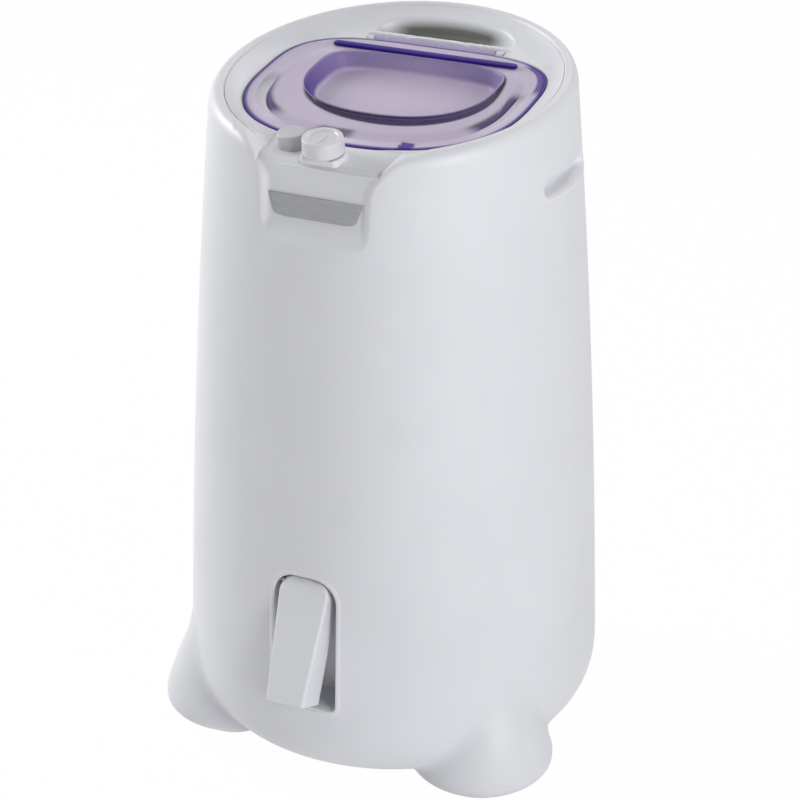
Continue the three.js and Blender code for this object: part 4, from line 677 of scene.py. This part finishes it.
def makeDeckRing():
    d, r = deck, recess
    angle = fullTurn(560)

    def reachOf(grow):
        return outlineReach(lid, grow, angle)

    mouth, seatEdge, flatStart = reachOf(d["mouth"]), reachOf(d["gap"]), reachOf(d["gap"] + 0.9)
    dishStart = np.maximum(circleReach(d["dish"], angle), flatStart + 0.6)
    dishEnd = circleReach(d["edge"], angle, d["lip"])
    # (reach, height): up the mouth, over the seat, the flat and the dish, and down at the seam
    rows = [(mouth, d["skirt"]), (mouth, -10), (mouth, -3.6), (reachOf(d["mouth"] + 0.5), -2.7),
            (reachOf(d["mouth"] + 1.5), d["seat"]), (reachOf(-8), d["seat"]), (seatEdge - 0.8, d["seat"]),
            (seatEdge - 0.2, d["seat"] + 0.25), (seatEdge, d["seat"] + 0.9), (seatEdge, d["flat"] - 0.9),
            (seatEdge + 0.3, d["flat"] - 0.25)]
    rows += [(flatStart + (dishStart - flatStart) * s, d["flat"]) for s in np.linspace(0, 1, 27)[:-1]]
    dishRun, dishRise = dishEnd - 0.3 - dishStart, d["lip"] - d["flat"]
    rows += [(dishStart + dishRun * s, d["flat"] + dishRise * (s + s * s) / 2) for s in np.linspace(0, 1, 17)]
    rows += [(dishEnd - 0.05, d["lip"] - 0.15), (dishEnd, d["lip"] - 0.5), (dishEnd, 5.0), (dishEnd, 2.2)]
    reach = np.array([row[0] for row in rows])
    level = np.array([np.full(len(angle), float(row[1])) for row in rows])
    x = reach * np.cos(angle)
    v = lid["centre"] + reach * np.sin(angle)
    ahead = smoothstep(-v, 116, 121)
    ledgeEnds = np.where(np.abs(x) < scoop["ledgeHalf"] - 0.6, -0.6, flareLevel(x) - 0.6)
    level = level + (np.minimum(softMin(level, ledgeEnds, 3.0), level) - level) * ahead
    inTray = smoothstep(d["trayHalf"] - np.abs(x), -0.5, 0.7) * smoothstep(d["trayBack"] - v, -0.5, 0.7)
    beyondSeat = reach > flatStart - 0.4
    level = np.where(beyondSeat & (v > 60), level + (d["trayFoot"] - level) * inTray, level)
    onLip = smoothstep(d["lipHalf"] - np.abs(x), -0.5, 2.0) * smoothstep(v - d["trayBack"], -0.3, 1.2)
    onLip = onLip * smoothstep(d["lipBack"] - v, -1.0, 1.2)
    level = level + np.where(v > 60, (d["lipTop"] - d["flat"]) * onLip, 0)
    level = level - np.where(v > 100, recessDepthAt(x, v), 0)
    top = surface(x, v, level)
    # the underside has every second row of the top, 3 mm lower, and a skirt behind the mouth
    under = top[np.r_[len(rows) - 1:10:-2, 6]]
    under[..., 2] = np.minimum(under[..., 2] - d["thickness"], d["flat"] + 3)
    skirt = outlinePoints(lid, d["mouth"] + 3, angle)
    loop = np.concatenate([top, under, [atLevel(skirt, -5.4), atLevel(skirt, d["skirt"])], top[:1]])
    # painted shade: the finger recess is painted grey-olive where it is deeper than 1 mm, fully from 9 mm,
    # fading out towards its ends
    recessShadeMask = smoothstep(recessDepthAt(x, v), 1.0, 9.0)
    recessShadeMask = recessShadeMask * smoothstep(np.abs(x - r["shadeMiddle"]), r["shadeHalf"], r["shadeFull"])
    shade = np.zeros(loop.shape[:2])
    shade[:len(rows)] = np.where(v > 100, recessShadeMask, 0)
    return fromTop(loop), shade


def makeLedge():
    # plate from the lid's gap to the front: columns across, rows over the top, round the front and back below
    across = np.linspace(-ledge["half"], ledge["half"], 133)
    frontEdge = np.maximum(-np.sqrt(ledge["radius"] ** 2 - across ** 2), ledge["front"]) / leanCos
    frontEdge = np.convolve(np.pad(frontEdge, 3, mode="edge"), np.ones(7) / 7, mode="valid")
    power, gap = lid["frontPower"], deck["gap"]
    reach = (1 - (np.abs(across) / (lid["half"] + gap)) ** power) ** (1 / power)
    backEdge = lid["centre"] - (lid["front"] + gap) * reach
    f, thick = ledge["fillet"], ledge["thickness"]
    # (share from back to front, shift towards the back, height)
    rows = [(0, 0, -thick), (0, 0, -0.5), (0, -0.2, -0.12), (0, -0.6, 0.0)]
    rows += [(share, 0, 0.0) for share in np.linspace(0.04, 0.7, 20)]
    rows += [(1, f * (1 - math.sin(t)), -f * (1 - math.cos(t))) for t in np.linspace(0, math.pi / 2, 9)]
    rows += [(1, 2.2, -f - 1.2), (1, f, -f - 1.2), (0, 0, -thick)]
    share, shift, level = columns(rows)
    grid = surface(across, backEdge + (frontEdge - backEdge) * share + shift, level)
    patches = [(fromTop(grid), False)]
    for edge in (grid[:, 0], grid[:, -1]):
        middle = edge.copy()
        middle[:, 1] = edge[:, 1].mean()
        middle[:, 2] = -thick / 2
        patches.append((fromTop(np.stack([edge, middle])), False))
    return patches


def seamFiller(side):
    # closes the step at the ledge's end, where the deck's ring and the cabinet's rim meet under the flare
    across = np.linspace(seam["from"], seam["to"], 23)
    inner, outer = seam["inner"], seam["outer"]
    radius, onTop = columns(((inner, 0), (inner, 1), (outer, 1), (outer, 0), (inner, 0)))
    grid = surface(side * across, -np.sqrt(radius ** 2 - across ** 2) / leanCos,
                   np.where(onTop, flareLevel(across) - seam["below"], seam["foot"]))
    ends = [(fromTop(np.stack([grid[[0, 3], end], grid[[1, 2], end]])), False) for end in (0, -1)]
    return [(fromTop(grid), False)] + ends


def makePedestal():
    radius, height = pedestal["radius"], pedestal["height"]
    profile = rounded([[0, height], [radius - 1.0, height], [radius, -1], [0, -1]], [0, 1.4, 0, 0])
    grid = lathe(profile, 96, (0, pedestal["v"]))
    grid[..., 1] = np.maximum(grid[..., 1], ledge["front"] / leanCos + 0.3)
    return [(fromTop(grid), True)]


def hingeEar(side):
    h = hinge
    profile = arc((0, 0), h["earRadius"], h["earRadius"], -90, 180, 22)
    v, n = (np.concatenate([profile, [[-h["earRadius"], -5.0], [0, -5.0]]]) * [-1, 1]).T
    x, share = columns(((h["earFrom"], 0), (h["earFrom"], 1), (h["earTo"], 1), (h["earTo"], 0)))
    return [(fromTop(surface(side * x, h["v"] + v * share, h["n"] + n * share)), True)]


ringGrid, ringShade = makeDeckRing()
deckRing = buildMesh("deckRing", [(ringGrid, True)], sharp=40, marks={"paintedRecessShade": [ringShade]})
deckParts = makeLedge() + makePedestal() + seamFiller(1) + seamFiller(-1) + hingeEar(1) + hingeEar(-1)
deckMesh = joinMeshes("deckWhole", [deckRing, buildMesh("deckLedge", deckParts, sharp=40)])
addPiece("deck_skin", deckMesh, "cabinet", "white_case", "top_deck", deckWhite)
print("deck", len(deckMesh.polygons))

# what shows through the lid's plate or is tinted in it, with a painted shade near its back right corner:
# angles about the lid's centre in degrees as (middle, where it begins, where it is full, strength)
lidMarks = {"collar": ((203, 26, 12, 1.0), (-10, 24, 12, 1.0), (-98, 14, 7, 0.7)),
            "corner": (25, 16, 10, 1.0), "wallWidth": 20, "wallAcross": 0.42, "wallAlong": -0.91,
            "tongueX": 60, "tongueHalf": 7.2, "tongueV": -98}


def near(turn, middle, outside, inside, strength):
    return strength * smoothstep(np.abs((turn - middle + 180) % 360 - 180), outside, inside)


def plateMarks(points, inset, away, angle):
    # how far the plate is tinted: deep at its edge and at the tongue's root, with a painted shade near its
    # back right corner; and how clear it is over the collar and the pocket's walls below it
    m = lidMarks
    turn = np.degrees(np.arctan2(points[:, 1] - lid["centre"], points[:, 0]))
    shown = 0.1 + sum(near(turn, *part) for part in m["collar"])
    overCollar = smoothstep(inset, 11, 15) * (1 - smoothstep(inset, 25, 32)) * np.clip(shown, 0, 1)
    facingCamera = np.clip(m["wallAcross"] * np.cos(angle) + m["wallAlong"] * np.sin(angle), 0, 1)
    wallBelow = m["wallWidth"] * facingCamera
    overWall = smoothstep(away, wallBelow + 1.5, wallBelow - 1.5)
    # painted shade: a dark patch on the plate within 11 mm of its edge near the back right corner
    corner = near(turn, *m["corner"]) * smoothstep(inset, 11, 8)
    tongueRoot = smoothstep(np.abs(points[:, 0] - m["tongueX"]), m["tongueHalf"], m["tongueHalf"] - 1)
    tongueRoot = tongueRoot * smoothstep(points[:, 1], m["tongueV"], m["tongueV"] - 2)
    edge = smoothstep(inset, 4.0, 2.6)
    tinted = 0.03 + 0.85 * edge + 0.85 * corner + 0.9 * tongueRoot
    return np.clip(tinted, 0, 1), (1 - 0.9 * overCollar) * (1 - 0.97 * overWall)


def makeLidPlate():
    angle = fullTurn(320)
    p, top, under = pocket, lid["top"], lid["top"] - lid["thickness"]
    floor = top - p["depth"]
    narrow = 1 - p["draft"] / p["half"]
    facing = np.sin(angle)                       # 1 at the back wall, -1 at the front wall
    # painted shade: the pocket's walls and rolled rim get the deep colour, most on the front wall and least
    # on the back one
    wallPaintedShade = np.clip(0.78 - 0.28 * facing, 0, 1)
    rimPaintedShade = np.clip(0.7 - 0.6 * facing, 0.12, 1)
    rows, tintAndShade, haze = [], [], []

    def addRow(points, level, tintAndShadeHere, hazeHere=1.0):
        rows.append(atLevel(points, level))
        tintAndShade.append(np.broadcast_to(np.asarray(tintAndShadeHere, float), angle.shape))
        haze.append(np.broadcast_to(np.asarray(hazeHere, float), angle.shape))

    def quarters(start, count):
        # along a quarter turn: share, how far out, how far up
        turns = np.linspace(start, 1, count)
        return [(turn, math.sin(turn * math.pi / 2), 1 - math.cos(turn * math.pi / 2)) for turn in turns]

    for share in (0.001, 0.3, 0.6, 0.85, 0.94):  # the pocket's floor, its fillet and its wall
        addRow(outlinePoints(p, 0, angle, narrow * share), floor, 0.02)
    for turn, out, up in quarters(0, 6):
        addRow(outlinePoints(p, 0, angle, narrow * (0.955 + 0.045 * out)), floor + p["fillet"] * up,
               wallPaintedShade * turn)
    for turn in np.linspace(0.15, 1, 7):
        addRow(outlinePoints(p, 0, angle, narrow + (1 - narrow) * turn),
               floor + p["fillet"] + (p["depth"] - p["fillet"] - 1.2) * turn, wallPaintedShade)
    for turn, out, _ in quarters(0.2, 5):        # rolled edge at the plate
        addRow(outlinePoints(p, p["roll"] * turn, angle), top - 1.2 * (1 - out), rimPaintedShade)
    inner, outer = outlinePoints(p, p["roll"], angle), outlinePoints(lid, -lid["edge"], angle)
    span = np.linalg.norm(outer - inner, axis=-1)
    for share in np.r_[np.linspace(0, 1, 34)[1:-1], 0.985, 1.0]:
        points = inner + (outer - inner) * share
        addRow(points, top, *plateMarks(points, lid["edge"] + (1 - share) * span, share * span, angle))
    for _, out, up in quarters(0.25, 4):         # the plate's edge and its underside
        addRow(outlinePoints(lid, lid["edge"] * (out - 1), angle), top - lid["edge"] * up, 0.95)
    addRow(outlinePoints(lid, 0, angle), under + 0.5, 0.75)
    addRow(outlinePoints(lid, -0.5, angle), under, 0.6)
    inner, outer = outlinePoints(p, p["wall"], angle), outlinePoints(lid, -0.5, angle)
    for share in np.linspace(0, 1, 10)[1:]:
        addRow(outer + (inner - outer) * share, under, 0.02, 0.02)
    outerFloor = floor - p["wall"]               # the pocket from below
    for turn in np.linspace(0.1, 1, 6):
        addRow(outlinePoints(p, p["wall"], angle, 1 - (1 - narrow) * turn),
               under + (outerFloor + 3 - under) * turn, wallPaintedShade)
    for turn, out, up in quarters(0.2, 5):
        addRow(outlinePoints(p, p["wall"], angle, narrow * (1 - 0.045 * up)), outerFloor + 3 * (1 - out),
               wallPaintedShade * (1 - turn))
    for share in (0.8, 0.5, 0.001):
        addRow(outlinePoints(p, 0, angle, narrow * share), outerFloor, 0.02, 0.6)
    rows = np.array(rows)
    # the floor falls towards the back
    deeper = 1 + p["fall"] * np.clip((rows[..., 1] - p["fallStart"]) / p["fallRun"], 0, 1)
    rows[..., 2] = np.where(rows[..., 2] < under, under - (under - rows[..., 2]) * deeper, rows[..., 2])
    return rows, np.array(tintAndShade), np.array(haze)


def makeCollar():
    outer, inner, top, foot = (lid[key] for key in ("collarOuter", "collarInner", "collarTop", "collarFoot"))
    corners = ((outer, top), (outer, foot + 0.6), (outer - 0.5, foot), (inner + 0.5, foot),
               (inner, foot + 0.6), (inner, top), (outer, top))
    return np.array([atLevel(outlinePoints(lid, grow, fullTurn(240)), level) for grow, level in corners])


def makeBarrel():
    # closed rod along the hinge, its ends rounded off
    radius, half, end = hinge["radius"], hinge["half"], hinge["end"]
    stations = [(-half, 0.0), (-half, 1 - end / radius), (-half + end, 1.0), (half - end, 1.0),
                (half, 1 - end / radius), (half, 0.0)]
    (x, share), angle = columns(stations), fullTurn(40)
    reach = radius * share
    return surface(x, hinge["v"] + reach * np.cos(angle), hinge["n"] + reach * np.sin(angle))


lidRows, lidTintAndShade, lidHaze = makeLidPlate()
catch = {"outline": [[-42.5, -2.2], [-42.5, -14], [-33.5, -14], [-33.5, -2.2]], "back": -107.75,
         "front": -110.25}
lidParts = {"collar": (makeCollar(), 1.0), "barrel": (makeBarrel(), 0.35),
            "catch": (prism(np.array(catch["outline"]), catch["back"], catch["front"]), 1.0)}
lidGrids = [lidRows] + [grid for grid, _ in lidParts.values()]
lidMesh = buildMesh("lidPlate", [(fromTop(grid), True) for grid in lidGrids], sharp=40, marks={
    "tintAndShade": [lidTintAndShade] + [np.full(grid.shape[:2], tintAndShade) for grid, tintAndShade in lidParts.values()],
    "haze": [lidHaze] + [np.ones(grid.shape[:2]) for grid, _ in lidParts.values()]})
addPiece("lid_plate", lidMesh, "lid", "violet_clear", "lid")

bar = {"half": 94, "radius": 4.4, "height": 3.4, "foot": 1.25, "v": 68.4}


def makeBar():
    # dark bar: flat below, domed above, both ends rounded in plan
    radius, straight = bar["radius"], bar["half"] - bar["radius"]
    ends = radius * np.sin(np.linspace(-math.pi / 2, math.pi / 2, 9))
    stations = np.r_[-straight + ends[:5], np.linspace(-straight, straight, 40)[1:-1], straight + ends[4:]]
    beyond = np.clip(np.abs(stations) - straight, 0, radius) / radius
    width = np.r_[0.0001, np.sqrt(np.clip(1 - beyond ** 2, 0.0001, 1)), 0.0001][:, None]
    angle = fullTurn(36)
    across = np.sign(np.cos(angle)) * np.abs(np.cos(angle)) ** 0.7
    up = 0.5 * np.sign(np.sin(angle)) * np.abs(np.sin(angle)) ** 0.6
    x = np.r_[stations[0], stations, stations[-1]][:, None]
    n = bar["foot"] + bar["height"] * (0.5 + up * np.maximum(width, 0.05) ** 0.5)
    return [(fromTop(surface(x, bar["v"] + radius * width * across, n)), True)]


addPiece("lid_bar_dark", buildMesh("lidBar", makeBar(), sharp=60), "lid", "violet_deep", "lid_bar")
print("lid", len(lidMesh.polygons))

knob = {"v": pedestal["v"], "foot": 6.0, "radius": 19.0, "head": 21.0, "dish": 2, "pointerHalf": 1,
        "pointerFrom": -10, "pointerTo": 7}
button = {"centre": (-38, -131.5), "foot": -5.0, "radius": 13.0, "head": 13.0}
coil = {"centre": (-38, -136.5), "radius": 5.6, "wire": 0.6, "turns": 5, "foot": -16, "head": -5.1,
        "press": 4}


def makeKnob():
    # a turned cap with a raised rim, and a pointer line in its dish
    k, foot, radius, head = knob, knob["foot"], knob["radius"], knob["head"]
    floor = head - k["dish"]
    profile = rounded([[0, foot], [radius - 0.6, foot], [radius, foot + 1], [radius - 0.9, head],
                       [radius - 5.0, head - 0.3], [radius - 6.2, floor], [0, floor]],
                      [0, 0.4, 0.6, 2.4, 1.4, 1.5, 0], 8)
    half, back, front, middle = k["pointerHalf"], k["pointerTo"], k["pointerFrom"], -1.5
    outline = rounded([[-half, front], [half, front], [half, back], [-half, back], [-half, front]], 0.9, 5)
    # (share of its width, share of its length, height)
    wide, long, level = columns(((0.001, 0.001, floor - 0.2), (1, 1, floor - 0.2), (1, 1, floor + 0.8),
                                 (0.8, 0.97, floor + 1.05), (0.001, 0.001, floor + 1.05)))
    pointer = surface(outline[:, 0] * wide, k["v"] + middle + (outline[:, 1] - middle) * long, level)
    return [(fromTop(lathe(profile, 128, (0, k["v"]))), True), (fromTop(pointer), True)]


def makeButton():
    foot, radius, head = button["foot"], button["radius"], button["head"]
    profile = rounded([[0, foot], [radius, foot], [radius, head], [radius - 4, head - 0.2], [0, head - 0.9]],
                      [0, 0.3, 2.2, 3, 0], 8)
    return [(fromTop(lathe(profile, 96, button["centre"])), True)]


def makeCoil():
    # helix under the button: (r cos t, r sin t, rising evenly), with a round wire about it
    c = coil
    turn = np.linspace(0, 2 * np.pi * c["turns"], 40 * c["turns"] + 1)[:, None]
    rise = np.linspace(c["foot"] + c["wire"], c["head"] - c["wire"], len(turn))[:, None]
    around, wire = fullTurn(10), np.full(turn.shape, c["wire"])
    wire[[0, -1]] = 0.001
    reach = c["radius"] + wire * np.cos(around)
    grid = surface(c["centre"][0] + reach * np.cos(turn), c["centre"][1] + reach * np.sin(turn),
                   rise + wire * np.sin(around))
    return [(fromTop(grid[np.r_[0, 0:len(turn), len(turn) - 1]]), True)]


addPiece("knob_turned", buildMesh("knob", makeKnob(), sharp=40), "knob", "white_trim", "timer_knob")
addPiece("button_cap", buildMesh("button", makeButton(), sharp=40), "button", "white_trim",
         "release_button", buttonShadedGrey)
coilPiece = addPiece("button_coil", buildMesh("coil", makeCoil(), sharp=60), "cabinet", "zinc_steel",
                     "button_spring")
coilFoot = fromTop(np.array([*coil["centre"], coil["foot"]], float)) * mm
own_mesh(coilPiece)
print("knob and button made")

label = {"top": 609, "height": 20, "topHalf": 46, "footHalf": 38.5, "corner": 7, "front": 1.5, "back": 0.3}


def makeLabel():
    # lies on the scoop's face: its width follows a trapezium with rounded lower corners
    top, topHalf, footHalf = label["top"], label["topHalf"], label["footHalf"]
    foot = top - label["height"]
    right = [[topHalf, top], [footHalf + 0.6, foot + 1.0], [footHalf - 8, foot]]
    right = rounded(right, [0, label["corner"], 0], 12)
    right = np.concatenate([[[topHalf - 0.01, top]], right[1:-1], [[footHalf - 8, foot], [0, foot]]])
    level = np.unique(np.concatenate([np.linspace(top, foot + 0.02, 28), right[:, 1]]))[::-1, None]
    order = np.argsort(right[:, 1], kind="stable")
    width = np.interp(level, right[order, 1], np.maximum.accumulate(right[order, 0]))
    across = np.linspace(-1, 1, 41)
    edgeDrop = 0.5 * smoothstep(np.abs(across), 0.975, 1.0)
    front = surface(width * across, scoopFace(level) - label["front"] + edgeDrop, level)
    back = front[::-1].copy()
    back[..., 1] = scoopFace(back[..., 2]) - label["back"]
    sides = [(np.stack([front[:, side], back[::-1][:, side]]), False) for side in (0, -1)]
    return [(np.concatenate([front, back, front[:1]]), False)] + sides


addPiece("label_foil", buildMesh("label", makeLabel(), sharp=30), "cabinet", "grey_plate", "label_plate")


def makeFoot(centre):
    # its underside has the pad's pocket and the screw's well
    f, steps, pocketEdge = footShape, 168, footShape["pad"] + 1
    below = [[0, f["wellTop"]], [f["well"], f["wellTop"]], [f["well"], f["padPocket"]],
             [pocketEdge, f["padPocket"]], [pocketEdge, 4.8], [pocketEdge + 0.5, 4.5]]
    pod = lathe(footProfile(), steps, centre)
    toCabinet = distanceTo(lowCabinet(), np.hypot(pod[..., 0], pod[..., 1]), pod[..., 2])
    blended = filleted(pod, outwardNormals(pod, f["sideRow"], centre[0]), centre, True, 9.0)
    pod = pod + (blended - pod) * smoothstep(toCabinet, -16, -9)[..., None]
    cap = lathe([[0, pod[-1, 0, 2] + 0.5]], steps, centre)
    return [(np.concatenate([lathe(below, steps, centre), pod, cap]), True)]


def makePad(centre):
    hole, edge, thick = footShape["padHole"], footShape["pad"], footShape["padThickness"]
    profile = rounded([[hole, 3], [hole, 0], [edge, 0], [edge, thick], [hole, thick], [hole, 3]],
                      [0, 0.6, 1.2, 0.4, 0.4, 0], 5)
    return [(lathe(profile, 96, centre), True)]


def cabinetPlug():
    # fills the cabinet to 2 mm inside its outline, to cut away what of a foot is in it
    profile = lowCabinet(2.0)
    profile[0, 0] = 0
    profile[:, 1] += np.where(profile[:, 1] < 40, 2.0, 0)
    return [(lathe(np.concatenate([profile, [[0, 330]]]), 240), True)]


for place, centre in feet.items():
    footMesh = cutMesh(buildMesh("foot", makeFoot(centre)), buildMesh("plug", cabinetPlug()))
    addPiece("foot_pod_" + place, footMesh, "cabinet", "white_case", "foot_" + place)
    addPiece("foot_pad_soft_" + place, buildMesh("pad", makePad(centre)), "cabinet", "foot_rubber",
             "foot_pad_" + place)
print("feet made")

spout = {"pivot": (0, -186, 236), "slant": math.radians(24.5), "face": 12, "head": 8, "foot": -112,
         "topHalf": 26, "footHalf": 19, "topDepth": 22, "footDepth": 37, "wall": 2.5, "corner": 18, "brow": 7,
         "edge": 3.2}


def spoutSection(level, inset):
    # U seen from above, from the back left corner round the front to the back right one
    s = spout
    share = (level - s["foot"]) / (s["head"] - s["foot"])
    depth = s["footDepth"] + (s["topDepth"] - s["footDepth"]) * share
    drop = s["head"] - level

    def roundingLoss(radius):
        # how far a rounded edge of the head stands back from its corner at this drop
        return radius - math.sqrt(max(radius ** 2 - max(radius - drop, 0) ** 2, 0))

    half = s["footHalf"] + (s["topHalf"] - s["footHalf"]) * share - roundingLoss(s["corner"]) - inset
    front, back = -s["face"] + roundingLoss(s["brow"]) + inset, -s["face"] + depth
    path = [[-half, back], [-half, front], [half, front], [half, back]]
    path = rounded(path, max(s["edge"] - inset, 0.8), 8)
    extra = np.linspace(0, 1, 5)[1:-1, None]
    start = path[0] + (path[1] - path[0]) * extra
    end = path[-2] + (path[-1] - path[-2]) * extra
    middle = len(path) // 2
    face = path[middle - 1] + (path[middle] - path[middle - 1]) * np.linspace(0, 1, 9)[1:-1, None]
    path = np.vstack([path[:1], start, path[1:middle], face, path[middle:-1], end, path[-1:]])
    return atLevel(path, level)


def makeSpout():
    s = spout
    drops = np.concatenate([s["brow"] * (1 - np.cos(np.linspace(0.12, math.pi / 2, 10))),
                            np.linspace(8, s["corner"], 8), np.linspace(22, s["head"] - s["foot"], 22)])
    levels = s["head"] - drops
    outer = [spoutSection(level, 0.0) for level in levels]
    cap = [outer[0] * [share, 1, 0] + [0, 0, s["head"] - drops[0] * share] for share in (0.0, 0.35, 0.7)]
    inner = [spoutSection(level, s["wall"]) for level in levels[levels < s["head"] - s["wall"] - 0.5]]
    outer, inner = np.array(cap + outer), np.array([inner[0] * [0, 1, 1]] + inner)
    patches = [(np.concatenate([outer, inner[::-1]]), False)]
    for side in (0, -1):
        padded = np.concatenate([np.repeat(inner[:1, side], len(outer) - len(inner), axis=0), inner[:, side]])
        patches.append((np.stack([outer[:, side], padded]), False))
    cosine, sine = math.cos(s["slant"]), -math.sin(s["slant"])
    turned = []
    for grid, closed in patches:
        x, y, z = axes(grid)
        turned.append((surface(x, y * cosine - z * sine, y * sine + z * cosine) + s["pivot"], closed))
    return turned


# the pocket behind the spout: its back wall, and a lip round the slot as (how far outside the slot,
# how proud of the cabinet)
housing = {"back": -162.5, "foot": -160, "wall": 2.5, "middle": 181.5,
           "lip": ((0, -2.0), (0, -0.2), (0.3, 0.3), (1.0, 0.65), (2.2, 0.75), (3.6, 0.55), (4.8, 0.2),
                   (5.2, -0.2), (2.6, -0.4), (2.5, -4.0))}


def makeHousing():
    h = housing

    def flatRing(grow, y, share=1.0):
        middle = np.array([0.0, h["middle"]])
        x, z = (middle + (archOutline(grow) - middle) * share).T
        return surface(x, y, z)

    def lipRing(grow, proud):
        x, z = archOutline(grow).T
        return surface(x, -np.sqrt((cabinetRadius(z) + proud) ** 2 - x ** 2), z)

    inside = [flatRing(0, h["back"], 0.001), flatRing(-1.5, h["back"]), flatRing(-0.4, h["back"] - 0.4),
              flatRing(0, h["back"] - 1.5)]
    outside = [flatRing(h["wall"], h["foot"]), flatRing(h["wall"], h["foot"], 0.001)]
    return [(np.array(inside + [lipRing(*ring) for ring in h["lip"]] + outside), True)]


addPiece("spout_channel", buildMesh("spout", makeSpout(), sharp=45), "spout", "white_case", "drain_spout")
addPiece("spout_pocket", buildMesh("housing", makeHousing(), sharp=40), "cabinet", "white_case",
         "spout_housing")
print("spout made")


def seenRays(tree):
    # 1 for rays from the camera, off a gloss or through clear plastic; 0 for light that falls on things
    path = addNode(tree, "LightPath")
    seen = path.outputs["Is Camera Ray"]
    for kind in ("Is Glossy Ray", "Is Transmission Ray"):
        seen = mathNode(tree, "MAXIMUM", seen, path.outputs[kind])
    return seen


studio = {"floorHalf": 14, "floorGlow": 0.985, "roomLight": 0.2}


def paleFloor():
    # white paper that keeps a trace of the shadow
    made, tree, place = startMaterial("studio_paper")
    colour = blendColours(tree, noise(tree, place, 60.0), linear("f4f4f5"), linear("f7f7f8"))
    paper = addNode(tree, "BsdfDiffuse", {"Color": colour})
    glow = addNode(tree, "Emission", {"Color": linear("ffffff"), "Strength": 1.0})
    share = mathNode(tree, "MULTIPLY", seenRays(tree), studio["floorGlow"])
    mix = {0: share, 1: paper.outputs[0], 2: glow.outputs[0]}
    return endMaterial(made, tree, addNode(tree, "MixShader", mix))


far = studio["floorHalf"]
floorMesh = bpy.data.meshes.new("floor")
floorMesh.from_pydata([(-far, -far, 0), (far, -far, 0), (far, far, 0), (-far, far, 0)], [], [(0, 1, 2, 3)])
floorMesh.materials.append(paleFloor())
floor = addObject("floor", floorMesh)

world = bpy.data.worlds.new("studio")
bpy.context.scene.world = world
world.use_nodes = True
sky = world.node_tree
sky.nodes.clear()
backdrop = addNode(sky, "Background", {"Color": linear("ffffff"), "Strength": 1.0})
roomLight = addNode(sky, "Background", {"Color": linear("f6f6fb"), "Strength": studio["roomLight"]})
shown = addNode(sky, "MixShader", {0: seenRays(sky), 1: roomLight.outputs[0], 2: backdrop.outputs[0]})
sky.links.new(shown.outputs[0], addNode(sky, "OutputWorld").inputs[0])

lamps = {"softboxRight": {"place": (2.43, -1.52, 1.28), "watts": 50},
         "softboxLeft": {"place": (-2.72, 0, 1.67), "watts": 67},
         "softboxBack": {"place": (0, 2.12, 2.52), "watts": 19},
         "softboxTop": {"place": (0, 0, 3.4), "watts": 8}}
lampAim, lampSize = Vector((0, 0, 0.4)), 1.3
for name, spec in lamps.items():
    lampData = bpy.data.lights.new(name, "AREA")
    lampData.shape = "SQUARE"
    lampData.size = lampSize
    lampData.energy = spec["watts"]
    lamp = addObject(name, lampData)
    lamp.location = spec["place"]
    lamp.rotation_euler = (lampAim - Vector(spec["place"])).to_track_quat("-Z", "Y").to_euler()

bpy.context.scene.view_settings.view_transform = "Standard"
print("light set")
